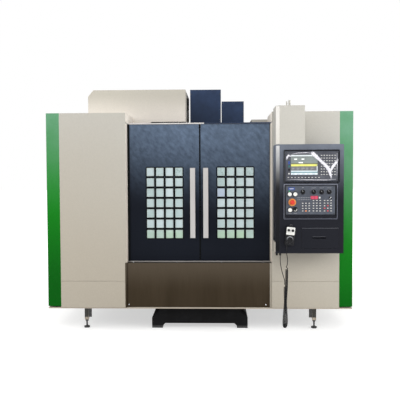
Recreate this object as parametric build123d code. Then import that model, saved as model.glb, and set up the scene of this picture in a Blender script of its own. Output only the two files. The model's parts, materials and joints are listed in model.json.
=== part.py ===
from build123d import *
import math
import os

# Vertical machining center. Millimetres, +X to the operator's right, +Y into the machine, +Z up.
# Depths below are counted from the plane of the guard's front panels, and place() moves them
# to the row frame, whose origin is the middle of the footprint on the floor.

# Guard. Its width is the opening, the console and the stripe side by side.
OPENING_HALF = 640.0
POD_OFFSET = 10.0
POD_WIDTH = 558.0
POD_STRIPE_GAP = 17.0
STRIPE_WIDTH = 115.0
GUARD_HALF = OPENING_HALF + POD_OFFSET + POD_WIDTH + POD_STRIPE_GAP + STRIPE_WIDTH
SKIN = 3.0
SILL_BOTTOM = 206.0
SILL_DEPTH = 60.0
SILL_RECESS = 4.0
PANEL_BOTTOM = 216.0
TRIM_BOTTOM = 228.0
PANEL_TOP = 1932.0
SEAM_Z = 450.0
HEADER_HEIGHT = 94.0
SEAM_GAP = 4.0
PANEL_FOLD = 42.0
JAMB_DEPTH = 98.0
JAMB_STOP = 10.0
SPINDLE_Y = 800.0
COLUMN_SETBACK = 600.0
COLUMN_FRONT = SPINDLE_Y + COLUMN_SETBACK
COLUMN_DEPTH = 460.0
GUARD_BEHIND_COLUMN_FRONT = 140.0
GUARD_REAR = COLUMN_FRONT + GUARD_BEHIND_COLUMN_FRONT
ROOF_STEP_Y = 480.0
ROOF_STEP = 23.0
ROOF_REAR_Z = PANEL_TOP - ROOF_STEP
ROOF_LIP = 30.0
ROOF_REAR_X = 488.0
ROOF_FLANGE = 84.0
REAR_FOLD = 40.0
REAR_CLEARANCE = 20.0
SERVICE_YS = (560.0, 1000.0)
SERVICE_LENGTH = 320.0
SERVICE_Z0 = 700.0
SERVICE_Z1 = 1300.0
SERVICE_SINK = 7.0
LOUVRE_COUNT = 8
LOUVRE_INSET = 200.0
LOUVRE_HEIGHT = 8.0
LOUVRE_PITCH = 30.0
LOUVRE_Z = 900.0
LEG_SIZE = 35.0
LEG_X = 1032.0
LEG_Y = 140.0
LEG_Z = 74.0
LEG_BRACE = 30.0
LEG_BRACE_Z = 97.0
FOOT_R = 26.0
FOOT_HEIGHT = 14.0
FOOT_SCREW_R = 8.0

# Apron and doors
APRON_Y = 20.0
APRON_FOLD = 36.0
APRON_GAP = 6.0
DOOR_Y = 110.0
DOOR_THICKNESS = 40.0
DOOR_SKIN = 4.0
DOOR_BOTTOM = 616.0
APRON_TOP = DOOR_BOTTOM - APRON_GAP
DOOR_TOP = PANEL_TOP - HEADER_HEIGHT
DOOR_SPLIT = 3.0
DOOR_LAP = 12.0
DOOR_WIDTH = OPENING_HALF + DOOR_LAP
DOOR_TRAVEL = 555.0
DOOR_SHIFT = 8.0
HANDLE_SHIFT = 2.0
DOOR_NOTCH_X = 9.0
DOOR_NOTCH_Z = 32.0
TRACK_AHEAD = 9.0
TRACK_BEHIND = 8.0
TRACK_Y0 = DOOR_Y - TRACK_AHEAD
TRACK_Y1 = DOOR_Y + DOOR_THICKNESS + TRACK_BEHIND
TRACK_PLATE = 9.0
TRACK_CLEARANCE = 3.0
TRACK_END = 10.0
TRACK_HALF = DOOR_SPLIT / 2 + DOOR_WIDTH + DOOR_TRAVEL + TRACK_END
TRACK_LIP = 3.0
TRACK_TOP_LIP = 20.0
TRACK_LOW_LIP = 14.0
TRACK_TAB_HALF = 20.0
TRACK_TAB_INSET = 40.0
TRACK_TAB_OUTSET = 60.0
SHOE_LENGTH = 60.0
SHOE_INSET = 90.0
SHOE_MARGIN = 8.0
RUNNING_GAP = 0.3
PANE_COLUMNS = 4
PANE_ROWS = 7
PANE_WIDTH = 68.0
PANE_HEIGHT = 76.0
PANE_PITCH_X = 85.0
PANE_PITCH_Z = 92.8
PANE_SHIFT = 11.5
PANE_ABOVE_FOOT = 520.0
PANE_X = DOOR_SPLIT / 2 + DOOR_WIDTH / 2 - PANE_SHIFT
PANE_Z = DOOR_BOTTOM + PANE_ABOVE_FOOT
SHEET_THICKNESS = 6.0
SHEET_LAP = 22.0
HANDLE_X = 58.0
HANDLE_WIDTH = 44.0
HANDLE_THICKNESS = 9.0
HANDLE_STAND = 40.0
HANDLE_ABOVE_FOOT = 209.0
HANDLE_LENGTH = 623.0
HANDLE_BOTTOM = DOOR_BOTTOM + HANDLE_ABOVE_FOOT
HANDLE_TOP = HANDLE_BOTTOM + HANDLE_LENGTH
HANDLE_POST_R = 9.0
HANDLE_POST_INSET = 60.0

# Chamber
LINER_GAP = 7.0
LINER_FRONT = TRACK_Y1 + LINER_GAP
LINER_FLOOR = 486.0
LINER_DROP = 64.0
LINER_TOP = PANEL_TOP - LINER_DROP
LINER_WALL = 3.0
LINER_REAR_GAP = 30.0
LINER_SIDE_GAP = 4.0

# Bed
BASE_FRONT = 130.0
BASE_REAR = COLUMN_FRONT + COLUMN_DEPTH
BASE_TOP = 560.0
BASE_HALF_TOP = 400.0
BASE_HALF_FOOT = 433.0
BASE_SHOULDER_LOW = 97.0
BASE_SHOULDER_HIGH = 176.0
BASE_ARCH_HIGH = 46.0
BASE_ARCH_TOP = 312.0
BASE_ARCH_FOOT = 336.0
BASE_REAR_HALF = 460.0
BASE_NOSE = 30.0
BASE_NOSE_HALF = 359.0
BASE_NOSE_SHOULDER = 169.0
TROUGH_DEPTH = 190.0
PAD_HEIGHT = 24.0
PAD_LENGTH = 120.0
PAD_YS = (BASE_FRONT + 70.0, (BASE_FRONT + BASE_REAR) / 2 - 35.0, BASE_REAR - 100.0)
BASE_POCKET_COUNT = 3
BASE_POCKET_START = 200.0
BASE_POCKET_PITCH = 350.0
BASE_POCKET_LENGTH = 260.0
BASE_POCKET_DEPTH = 50.0
BASE_POCKET_Z0 = 230.0
BASE_POCKET_Z1 = 460.0
TROUGH_HALF = 180.0
TROUGH_START = 170.0
TROUGH_END = 40.0

# Axes: travel, rails and carriages
X_TRAVEL = 400.0
Y_TRAVEL = 250.0
Z_TRAVEL = 500.0
RAIL_WIDTH = 34.0
RAIL_HEIGHT = 30.0
BLOCK_WIDTH = 84.0
BLOCK_LENGTH = 92.0
BLOCK_LAP = 22.0
BLOCK_GAP = 0.6
Y_RAIL_X = 255.0
Y_RAIL_START = 254.0
Y_RAIL_END = 38.0
Y_RAIL_Y0 = BASE_FRONT + Y_RAIL_START
Y_RAIL_Y1 = COLUMN_FRONT - Y_RAIL_END
Y_BLOCK_Y = 118.0
SADDLE_HALF_X = 450.0
SADDLE_HALF_Y = 170.0
SADDLE_BOTTOM = 640.0
SADDLE_TOP = 742.0
X_RAIL_Y = 125.0
X_WAY_REACH = 240.0
X_BLOCK_X = 215.0
TABLE_HALF_X = 500.0
LINER_CLEARANCE = 20.0
LINER_HALF = TABLE_HALF_X + X_WAY_REACH + X_TRAVEL + LINER_CLEARANCE
TABLE_HALF_Y = 250.0
TABLE_BOTTOM = 792.0
TABLE_TOP = 880.0
SLOT_COUNT = 5
SLOT_PITCH = 90.0
SLOT_WIDTH = 18.0
SLOT_NECK = 26.0
SLOT_WIDE = 30.0
SLOT_FOOT = 14.0
COLUMN_HALF_FOOT = 450.0
COLUMN_HALF_TOP = 270.0
COLUMN_TOP = 1948.0
COLUMN_ARCH_HALF = 352.0
COLUMN_ARCH_TOP = 664.0
COLUMN_KNEE = 1150.0
COLUMN_POCKET_ZS = (1200.0, 1560.0)
COLUMN_POCKET_HEIGHT = 300.0
COLUMN_POCKET_DEPTH = 39.0
COLUMN_POCKET_INSET = 110.0
SCREW_SLOT_HALF = 80.0
SCREW_SLOT_DEPTH = 90.0
Z_RAIL_X = 150.0
Z_RAIL_Z0 = 1000.0
Z_RAIL_END = 16.0
Z_RAIL_Z1 = COLUMN_TOP - Z_RAIL_END
Z_BLOCK_Z = 130.0
MOTOR_SIDE = 130.0
MOTOR_LENGTH = 190.0
MOTOR_CAP_HALF = 40.0
MOTOR_CAP_LENGTH = 34.0
MOTOR_PLATE = 30.0
MOTOR_PLATE_HALF = 100.0
Y_MOTOR_START = 430.0
Y_MOTOR_Y = BASE_FRONT + Y_MOTOR_START
Y_MOTOR_DROP = 110.0
Z_MOTOR_SETBACK = 75.0
Z_MOTOR_STAND = 60.0

# Head and spindle
HEAD_BOTTOM = 1570.0
HEAD_TOP = 1880.0
HEAD_HALF = 150.0
HEAD_AHEAD = 132.0
HEAD_FRONT = SPINDLE_Y - HEAD_AHEAD
HEAD_PLATE_HALF = 205.0
HEAD_PLATE_TOP = 1930.0
HEAD_PLATE_DEPTH = 50.0
HEAD_STANDOFF = 70.0
QUILL_R = 76.0
NOSE_CLEARANCE = 100.0
NOSE_Z = TABLE_TOP + NOSE_CLEARANCE + Z_TRAVEL
NOSE_LENGTH = 34.0
NOSE_R = 44.0
TAPER_R = 22.2
TAPER_DEPTH = 60.0
TAPER_TIP_R = 13.5
BEARING_GAP = 1.0
SPINDLE_MOTOR_R = 88.0
SPINDLE_MOTOR_TOP = 2180.0
COVER_X0 = -103.0
COVER_X1 = 199.0
COVER_AHEAD = 110.0
COVER_DEPTH = 460.0
COVER_FRONT = SPINDLE_Y - COVER_AHEAD
COVER_REAR = COVER_FRONT + COVER_DEPTH
COVER_TOP = 2224.0
SIDE_COVER_X0 = 207.0
SIDE_COVER_X1 = 425.0
SIDE_COVER_AHEAD = 80.0
SIDE_COVER_DEPTH = 360.0
SIDE_COVER_FRONT = SPINDLE_Y - SIDE_COVER_AHEAD
SIDE_COVER_REAR = SIDE_COVER_FRONT + SIDE_COVER_DEPTH
SIDE_COVER_BOTTOM = 1800.0
SIDE_COVER_TOP = 2111.0

# Telescopic way covers
WAY_PLATE = 3.0
WAY_STEP = 8.0
Y_WAY_HALF = 314.0
Y_WAY_Z = 606.0
Y_WAY_LENGTH = 205.0
Y_WAY_STOP = 1.0
Y_WAY_START = SPINDLE_Y - SADDLE_HALF_Y - Y_WAY_LENGTH - Y_TRAVEL + Y_WAY_STOP
Y_WAY_REAR = 630.0
Z_WAY_HALF = 224.0
Z_WAY_STAND = 50.0
Z_WAY_Y = COLUMN_FRONT - Z_WAY_STAND
Z_WAY_BOTTOM = 690.0
Z_WAY_LAP = 35.0
Z_WAY_STOP = 15.0
Z_WAY_HEAD_LAP = 16.0
Z_WAY_FIXED = Z_TRAVEL / 2 + Z_WAY_LAP + Z_WAY_STOP
Z_WAY_MID = Z_TRAVEL / 2 + 90.0
Z_WAY_MID_Z = Z_WAY_BOTTOM + Z_WAY_FIXED - Z_WAY_LAP
Z_WAY_HEAD = HEAD_BOTTOM - (Z_WAY_MID_Z + Z_WAY_MID - Z_WAY_HEAD_LAP)
X_WAY_HALF = 190.0
X_WAY_TOP = 800.0
X_WAY_SKIRT = 752.0

# Tool changer
ARM_X = -325.0
ARM_REACH = 325.0
ARM_BELOW_NOSE = 42.0
ARM_Z = NOSE_Z - ARM_BELOW_NOSE
ARM_THICKNESS = 28.0
ARM_WIDTH = 76.0
ARM_HUB_R = 58.0
ARM_GRIP_R = 26.0
ARM_HUB_DROP = 22.0
ARM_PIN_R = 16.0
PIN_GAP = 0.05
ARM_SHAFT_R = 28.0
ARM_DROP = 115.0
ARM_SHAFT_HELD = 35.0
ARM_BORE_GAP = 0.1
DISC_Z = 1830.0
DISC_PITCH_R = 270.0
DISC_R = 262.0
DISC_X = -596.0
DISC_THICKNESS = 16.0
DISC_HUB = 40.0
POT_COUNT = 20
POT_R = 35.0
POT_LENGTH = 96.0
TOOL_R = 31.0
TOOL_LENGTH = 26.0
SHANK_R = 16.0
SHANK_LENGTH = 70.0
GEARBOX_HALF = 105.0
GEARBOX_BOTTOM = 1640.0
GEARBOX_TOP = 1882.0
ARM_SHAFT_TOP = GEARBOX_BOTTOM + ARM_DROP + ARM_SHAFT_HELD
BEAM_Z0 = 1700.0
BEAM_Z1 = 1850.0
BEAM_LAP = 120.0
HUB_R = 48.0
HUB_COLLAR = 12.0
AXLE_R = 20.0
CAM_MOTOR_R = 62.0
CAM_MOTOR_HEIGHT = 220.0
DISC_HOLE_COUNT = 6
DISC_HOLE_R = 48.0
DISC_HOLE_PITCH_R = 140.0
MAG_X0 = -1069.0
MAG_X1 = -138.0
MAG_STEP_X = -470.0
MAG_FRONT = 480.0
MAG_REAR = 1200.0
MAG_TOP = 2198.0
MAG_STEP_Z = 1893.0
MAG_BOTTOM = 1500.0
MAG_CHAMFER_X = 51.0
MAG_CHAMFER_Z = 61.0
TERMINAL_PROUD = 18.0
TERMINAL_Y0 = 760.0
TERMINAL_Y1 = 820.0
TERMINAL_Z0 = 2080.0
TERMINAL_Z1 = 2150.0
TERMINAL_GLAND_R = 8.0
TERMINAL_GLAND_DROP = 45.0

# Operator console
POD_X0 = OPENING_HALF + POD_OFFSET
POD_X1 = POD_X0 + POD_WIDTH
POD_BOX_WIDTH = 237.0
POD_BOX_X1 = POD_X0 + POD_BOX_WIDTH
POD_FRONT = -260.0
POD_BEVEL = 32.0
POD_BOTTOM = 730.0
POD_HEIGHT = 905.0
POD_TOP = POD_BOTTOM + POD_HEIGHT
POD_BOX_RISE = 320.0
POD_BOX_TOP = POD_TOP + POD_BOX_RISE
POD_WALL = 4.0
POD_FACE = 6.0
RECESS_DEPTH = 3.0
RECESS_MARGIN = 12.0
FIT_GAP = 1.0
SCREEN_LEFT = 80.0
SCREEN_WIDTH = 429.0
SCREEN_FOOT = 603.0
SCREEN_HEIGHT = 240.0
SCREEN_X0 = POD_X0 + SCREEN_LEFT
SCREEN_X1 = SCREEN_X0 + SCREEN_WIDTH
SCREEN_Z0 = POD_BOTTOM + SCREEN_FOOT
SCREEN_Z1 = SCREEN_Z0 + SCREEN_HEIGHT
SCREEN_DEPTH = 70.0
LCD_LEFT = 42.0
LCD_WIDTH = 223.0
LCD_FOOT = 49.0
LCD_HEIGHT = 166.0
LCD_X0 = SCREEN_X0 + LCD_LEFT
LCD_X1 = LCD_X0 + LCD_WIDTH
LCD_Z0 = SCREEN_Z0 + LCD_FOOT
LCD_Z1 = LCD_Z0 + LCD_HEIGHT
LCD_SINK = 4.0
KEY_HEIGHT = 1.6
SOFTKEY_COUNT = 10
SOFTKEY_LEFT = 22.0
SOFTKEY_FOOT = 27.0
SOFTKEY_X0 = SCREEN_X0 + SOFTKEY_LEFT
SOFTKEY_PITCH = 28.0
SOFTKEY_Z = SCREEN_Z0 + SOFTKEY_FOOT
SOFTKEY_SIZE = 16.0
KEYPAD_LEFT = 294.0
KEYPAD_HEAD = 209.0
KEYPAD_X0 = SCREEN_X0 + KEYPAD_LEFT
KEYPAD_PITCH_X = 22.0
KEYPAD_COLUMNS = 6
KEYPAD_ROWS = 8
KEYPAD_Z1 = SCREEN_Z0 + KEYPAD_HEAD
KEYPAD_PITCH_Z = 22.5
KEYPAD_SIZE = 17.0
PANEL_LEFT = 82.0
PANEL_WIDTH = 404.0
PANEL_FOOT = 324.0
PANEL_HEIGHT = 238.0
PANEL_X0 = POD_X0 + PANEL_LEFT
PANEL_X1 = PANEL_X0 + PANEL_WIDTH
PANEL_Z0 = POD_BOTTOM + PANEL_FOOT
PANEL_Z1 = PANEL_Z0 + PANEL_HEIGHT
PANEL_DEPTH = 14.0
PANEL_KEY_SIZE = 18.0
# Key rows above the panel's foot; columns from its left edge, with the rows each leaves out.
PANEL_KEY_ROWS = (115.5, 93.0, 71.5, 50.0, 29.0)
PANEL_KEY_COLUMNS = ((138.0, 1), (165.0, 1), (192.0, 1), (227.0, 0), (254.0, 0), (282.0, 0),
                     (318.0, 0), (345.0, 0), (371.0, 0))
BUTTON_R = 17.0
BUTTON_RING_R = 22.0
BUTTON_RING_HEIGHT = 4.0
BUTTON_PROUD = 9.0
BUTTON_TRAVEL = 4.0
BUTTON_GAP = 0.5
# Places on the machine panel, from its lower left corner.
BUTTON_PLACES = {"button_start": (34.0, 37.0), "button_hold": (77.0, 41.0),
                 "button_power_on": (31.0, 168.0), "button_power_off": (77.0, 168.0)}
BUTTONS = {name: (PANEL_X0 + x, PANEL_Z0 + z) for name, (x, z) in BUTTON_PLACES.items()}
STOP_LEFT = 52.0
STOP_FOOT = 101.0
STOP_XZ = (PANEL_X0 + STOP_LEFT, PANEL_Z0 + STOP_FOOT)
STOP_RING_R = 33.0
STOP_RING_HEIGHT = 3.0
STOP_STEM_R = 13.0
STOP_HEAD_R = 20.0
STOP_HEAD_HEIGHT = 16.0
STOP_STANDOFF = 10.0
STOP_TRAVEL = 6.0
SELECTOR_PLACES = {"selector_mode": 140.0, "selector_feed": 229.0,
                   "selector_rapid": 294.0, "selector_spindle": 356.0}
SELECTORS = {name: PANEL_X0 + x for name, x in SELECTOR_PLACES.items()}
SELECTOR_FOOT = 186.0
SELECTOR_Z = PANEL_Z0 + SELECTOR_FOOT
SELECTOR_R = 20.0
SELECTOR_HEIGHT = 18.0
SELECTOR_GRIP = 9.0
SELECTOR_STEM_R = 6.0
KEY_SWITCH_LEFT = 366.0
KEY_SWITCH_FOOT = 137.0
KEY_SWITCH_XZ = (PANEL_X0 + KEY_SWITCH_LEFT, PANEL_Z0 + KEY_SWITCH_FOOT)
KEY_SWITCH_R = 11.0
KEY_SWITCH_HEIGHT = 7.0
DRAWER_LEFT = 213.0
DRAWER_WIDTH = 305.0
DRAWER_FOOT = 42.0
DRAWER_HEIGHT = 171.0
DRAWER_X0 = POD_X0 + DRAWER_LEFT
DRAWER_X1 = DRAWER_X0 + DRAWER_WIDTH
DRAWER_Z0 = POD_BOTTOM + DRAWER_FOOT
DRAWER_Z1 = DRAWER_Z0 + DRAWER_HEIGHT
DRAWER_TRAVEL = 165.0
DRAWER_HELD = 35.0
DRAWER_DEPTH = DRAWER_TRAVEL + DRAWER_HELD
DRAWER_WALL = 3.0
DRAWER_GAP = 2.0
DRAWER_SLOT_LEFT = 85.0
DRAWER_SLOT_WIDTH = 118.0
DRAWER_SLOT_X0 = DRAWER_X0 + DRAWER_SLOT_LEFT
DRAWER_SLOT_X1 = DRAWER_SLOT_X0 + DRAWER_SLOT_WIDTH
DRAWER_SLOT_CREST = 99.0
DRAWER_SLOT_Z = DRAWER_Z0 + DRAWER_SLOT_CREST
DRAWER_SLOT_HEIGHT = 24.0

# Hand pulse generator, its cord and the glands
MPG_LEFT = 113.0
MPG_FOOT = 147.0
MPG_X = POD_X0 + MPG_LEFT
MPG_Z = POD_BOTTOM + MPG_FOOT
MPG_WIDTH = 76.0
MPG_HEIGHT = 156.0
MPG_DEPTH = 36.0
MPG_TILT = 6.5
MPG_PLATE_DEPTH = 2.0
MPG_KNOB_R = 10.0
MPG_KNOB_HEIGHT = 12.0
MPG_KNOB_X = 17.0
MPG_KNOB_Z = 48.0
MPG_DIAL_R = 34.0
MPG_DIAL_HEIGHT = 14.0
MPG_DIAL_Z = -28.0
MPG_AXLE_R = 5.0
CORD_R = 3.0
COIL_R = 12.0
COIL_LOW = 117.0
MPG_OUTLET_X = -16.0
GLAND_R = 9.0
GLAND_NUT_R = 12.0
GLAND_LENGTH = 30.0
GLAND_Y = -150.0
GLAND_LEFT = 17.0
GLAND_PITCH = 29.0
GLAND_XY = ((POD_X0 + GLAND_LEFT, GLAND_Y), (POD_X0 + GLAND_LEFT + GLAND_PITCH, GLAND_Y))
PORT_PROUD = 10.0
PORT_Y0 = -225.0
PORT_Y1 = -40.0
PORT_FOOT = 10.0
PORT_HEIGHT = 80.0
PORT_Z0 = POD_BOTTOM + PORT_FOOT
PORT_Z1 = PORT_Z0 + PORT_HEIGHT
STUB_THIN_LEFT = 100.0
STUB_PITCH = 23.0
STUB_THIN_X = POD_X0 + STUB_THIN_LEFT
STUB_THIN_R = 6.0
STUB_THIN_HEIGHT = 45.0
STUB_THICK_X = STUB_THIN_X + STUB_PITCH
STUB_THICK_R = 9.0
STUB_THICK_HEIGHT = 55.0
STUB_FOOT = 20.0
STUB_FOOT_HEIGHT = 5.0

# Rear equipment
CABINET_X0 = -450.0
CABINET_X1 = 650.0
CABINET_GAP = 30.0
CABINET_Y0 = BASE_REAR + CABINET_GAP
CABINET_DEPTH = 280.0
CABINET_Z0 = 430.0
CABINET_Z1 = 1960.0
CABINET_DOOR = 24.0
CABINET_WALL = 3.0
CABINET_HINGE_R = 8.0
CABINET_PIN_R = 4.0
CABINET_KNUCKLE = 36.0
CABINET_EAR = 49.0
CABINET_EAR_HEIGHT = 12.0
CABINET_BRACKET_ZS = (900.0, 1500.0)
CABINET_BRACKET_X = 200.0
CABINET_BRACKET = 60.0
DEVICE_ROWS = 4
DEVICE_FIRST = 220.0
DEVICE_PITCH = 330.0
DEVICE_HEIGHT = 150.0
DEVICE_DEPTH = 118.0
CABINET_HINGE = (CABINET_X1 + CABINET_HINGE_R + 1.0, CABINET_Y0 + CABINET_DEPTH - CABINET_DOOR / 2)
SWITCH_XZ = (CABINET_X0 + 140.0, 1500.0)
SWITCH_R = 28.0
SWITCH_HEIGHT = 22.0
TANK_X0 = -1100.0
TANK_X1 = 600.0
TANK_GAP = 25.0
TANK_DEPTH = 280.0
TANK_Y0 = BASE_REAR + TANK_GAP
TANK_Y1 = TANK_Y0 + TANK_DEPTH
TANK_Z0 = 40.0
TANK_Z1 = 380.0
PUMP_X = -960.0
PUMP_R = 70.0
PUMP_HEIGHT = 330.0
PIPE_R = 14.0
PIPE_RISE = 160.0

MPG_FRONT = POD_FRONT - MPG_DEPTH
FRONTMOST = MPG_FRONT - MPG_PLATE_DEPTH - MPG_DIAL_HEIGHT
REARMOST = CABINET_Y0 + CABINET_DEPTH + SWITCH_HEIGHT
SHIFT_Y = -(FRONTMOST + REARMOST) / 2


def box(x0, x1, y0, y1, z0, z1):
    size = Box(x1 - x0, y1 - y0, z1 - z0)
    return Pos((x0 + x1) / 2, (y0 + y1) / 2, (z0 + z1) / 2) * size


def rod_x(x0, x1, y, z, r):
    return Pos((x0 + x1) / 2, y, z) * (Rot(0, 90, 0) * Cylinder(r, x1 - x0))


def rod_y(x, y0, y1, z, r):
    return Pos(x, (y0 + y1) / 2, z) * (Rot(90, 0, 0) * Cylinder(r, y1 - y0))


def rod_z(x, y, z0, z1, r):
    return Pos(x, y, (z0 + z1) / 2) * Cylinder(r, z1 - z0)


def mirror_x(shape):
    return mirror(shape, about=Plane.YZ)


def save(node, *shapes):
    solids = []
    for shape in shapes:
        solids.extend(shape.solids())
    moved = [Pos(0, SHIFT_Y, 0) * solid for solid in solids]
    whole = moved[0] if len(moved) == 1 else Compound(children=moved)
    export_step(whole, "parts/" + node + ".step")


def tray_front(x0, x1, z0, z1, y, fold, t):
    # A sheet folded back on its four edges, open at the rear.
    return box(x0, x1, y, y + fold, z0, z1) - box(x0 + t, x1 - t, y + t, y + fold + 1, z0 + t, z1 - t)


def extrude_y(points, y0, y1):
    # A closed outline in X and Z, drawn at y0 and pulled back to y1.
    plane = Plane(origin=(0, y0, 0), x_dir=(1, 0, 0), z_dir=(0, -1, 0))
    return extrude(plane * make_face(Polyline(*points, close=True)), -(y1 - y0))


# Guard

def front_panel(side):
    outer = GUARD_HALF - STRIPE_WIDTH
    upper = tray_front(OPENING_HALF, outer, SEAM_Z + SEAM_GAP / 2, PANEL_TOP, 0, PANEL_FOLD, SKIN)
    lower = tray_front(OPENING_HALF, outer, PANEL_BOTTOM, SEAM_Z - SEAM_GAP / 2, 0, PANEL_FOLD, SKIN)
    jamb = box(OPENING_HALF, OPENING_HALF + SKIN, PANEL_FOLD, JAMB_DEPTH, PANEL_BOTTOM, PANEL_TOP - SKIN)
    if side < 0:
        return [mirror_x(s) for s in (upper, lower, jamb)]
    # The doors meet right of the middle, so the right jamb folds in to cover the same lap.
    jamb += box(OPENING_HALF - JAMB_STOP, OPENING_HALF + SKIN, JAMB_DEPTH - SKIN, JAMB_DEPTH,
                APRON_TOP, DOOR_TOP)
    return [upper, lower, jamb]


def corner_trims():
    x0 = GUARD_HALF - STRIPE_WIDTH
    trim = box(x0, GUARD_HALF, 0, PANEL_FOLD, TRIM_BOTTOM, PANEL_TOP)
    trim -= box(x0 - 1, GUARD_HALF - SKIN, SKIN, PANEL_FOLD + 1, TRIM_BOTTOM - 1, PANEL_TOP + 1)
    return [trim, mirror_x(trim)]


def side_panel():
    # One side skin with its top and rear folds, and two service panels set into it.
    y0 = PANEL_FOLD
    wall = box(GUARD_HALF - SKIN, GUARD_HALF, y0, GUARD_REAR, PANEL_BOTTOM, ROOF_REAR_Z)
    wall += box(GUARD_HALF - REAR_FOLD, GUARD_HALF, GUARD_REAR - SKIN, GUARD_REAR, PANEL_BOTTOM, ROOF_REAR_Z)
    wall += box(GUARD_HALF - SKIN, GUARD_HALF, y0, ROOF_STEP_Y, ROOF_REAR_Z, PANEL_TOP)
    t = SKIN
    for y in SERVICE_YS:
        y1 = y + SERVICE_LENGTH
        wall += box(GUARD_HALF - SERVICE_SINK - t, GUARD_HALF, y, y1, SERVICE_Z0, SERVICE_Z1)
        wall -= box(GUARD_HALF - SERVICE_SINK, GUARD_HALF + 1, y + t, y1 - t, SERVICE_Z0 + t, SERVICE_Z1 - t)
    return wall


def louvre_rows(x0, x1, y):
    z = [LOUVRE_Z + i * LOUVRE_PITCH for i in range(LOUVRE_COUNT)]
    return [box(x0, x1, y - 1, y + SKIN + 1, z0, z0 + LOUVRE_HEIGHT) for z0 in z]


def roof_parts():
    inner = GUARD_HALF - SKIN
    parts = []
    front = box(OPENING_HALF, inner, SKIN, ROOF_STEP_Y, PANEL_TOP - SKIN, PANEL_TOP)
    front -= box(OPENING_HALF - 1, GUARD_HALF, 0, PANEL_FOLD, PANEL_TOP - SKIN - 1, PANEL_TOP + 1)
    front += box(OPENING_HALF, OPENING_HALF + SKIN, JAMB_DEPTH, ROOF_STEP_Y,
                 PANEL_TOP - ROOF_FLANGE, PANEL_TOP)
    front -= box(OPENING_HALF - 1, OPENING_HALF + SKIN + 1, 0, TRACK_Y1, 0, PANEL_TOP - SKIN)
    parts += [front, mirror_x(front)]
    rear = box(ROOF_REAR_X, inner, ROOF_STEP_Y + SKIN, GUARD_REAR, ROOF_REAR_Z - SKIN, ROOF_REAR_Z)
    rear += box(ROOF_REAR_X, inner, ROOF_STEP_Y, ROOF_STEP_Y + SKIN,
                ROOF_REAR_Z - ROOF_LIP, ROOF_REAR_Z)
    rear += box(OPENING_HALF, inner, ROOF_STEP_Y, ROOF_STEP_Y + SKIN, ROOF_REAR_Z, PANEL_TOP)
    parts.append(rear)
    left = box(-inner, MAG_X1, MAG_REAR + 6, GUARD_REAR, ROOF_REAR_Z - SKIN, ROOF_REAR_Z)
    left -= box(-COLUMN_HALF_FOOT, 0, MAG_REAR, GUARD_REAR + 1, ROOF_REAR_Z - 9, ROOF_REAR_Z + 9)
    left += box(-inner, MAG_X0 - 6, ROOF_STEP_Y - SKIN, GUARD_REAR, ROOF_REAR_Z - SKIN, ROOF_REAR_Z)
    parts.append(left)
    return parts


def rear_panels():
    # Rear skins each side of the column, with louvres, and the folds that carry the roof.
    x0 = COLUMN_HALF_FOOT + REAR_CLEARANCE
    x1 = GUARD_HALF - REAR_FOLD
    wall = box(x0, x1, GUARD_REAR - SKIN, GUARD_REAR, PANEL_BOTTOM, ROOF_REAR_Z - SKIN)
    wall -= louvre_rows(x0 + LOUVRE_INSET, x1 - LOUVRE_INSET, GUARD_REAR - SKIN)
    return [wall, mirror_x(wall)]


def sill():
    d = SILL_DEPTH
    bar = box(-GUARD_HALF, GUARD_HALF, SILL_RECESS, d, SILL_BOTTOM, PANEL_BOTTOM)
    sides = box(GUARD_HALF - d, GUARD_HALF, d, GUARD_REAR, SILL_BOTTOM, PANEL_BOTTOM)
    rear = box(COLUMN_HALF_FOOT + REAR_CLEARANCE, GUARD_HALF - d, GUARD_REAR - d, GUARD_REAR,
               SILL_BOTTOM, PANEL_BOTTOM)
    return [bar, sides, mirror_x(sides), rear, mirror_x(rear)]


def guard_legs():
    legs = []
    for y in (LEG_Y, GUARD_REAR - SILL_DEPTH):
        post = box(LEG_X - LEG_SIZE / 2, LEG_X + LEG_SIZE / 2, y, y + LEG_SIZE, LEG_Z, SILL_BOTTOM)
        x1 = LEG_X - LEG_SIZE / 2
        brace = box(x1 - LEG_BRACE, x1, y + 4, y + 8, LEG_BRACE_Z, SILL_BOTTOM)
        leg = post + brace
        if y == LEG_Y:
            leg += box(x1 - LEG_BRACE, GUARD_HALF - SILL_DEPTH, y, y + LEG_SIZE, SILL_BOTTOM, PANEL_BOTTOM)
        leg -= rod_z(LEG_X, y + LEG_SIZE / 2, LEG_Z - 1, LEG_Z + 60, FOOT_SCREW_R + 0.5)
        legs += [leg, mirror_x(leg)]
    return legs


def levelling_feet():
    feet = []
    for y in (LEG_Y, GUARD_REAR - SILL_DEPTH):
        for x in (-LEG_X, LEG_X):
            centre = y + LEG_SIZE / 2
            foot = rod_z(x, centre, 0, FOOT_HEIGHT, FOOT_R)
            foot += rod_z(x, centre, FOOT_HEIGHT, LEG_Z + 50, FOOT_SCREW_R)
            nut = extrude(Plane(origin=(x, centre, LEG_Z - 14)) * RegularPolygon(15, 6), 12)
            feet.append(foot + nut)
    pad_x0 = BASE_ARCH_FOOT
    for y in PAD_YS:
        pad = box(pad_x0, BASE_HALF_FOOT, y - PAD_LENGTH / 2, y + PAD_LENGTH / 2, 0, PAD_HEIGHT)
        feet += [pad, mirror_x(pad)]
    return feet


# Apron and doors

def apron():
    skin = box(-OPENING_HALF, OPENING_HALF, APRON_Y, APRON_Y + APRON_FOLD, PANEL_BOTTOM, APRON_TOP)
    skin -= box(-OPENING_HALF + SKIN, OPENING_HALF - SKIN, APRON_Y + SKIN, APRON_Y + APRON_FOLD + 1,
                PANEL_BOTTOM + SKIN, APRON_TOP - SKIN)
    ledge = box(-OPENING_HALF, OPENING_HALF, APRON_Y + APRON_FOLD, TRACK_Y0, APRON_TOP - SKIN, APRON_TOP)
    return skin + ledge


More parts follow.
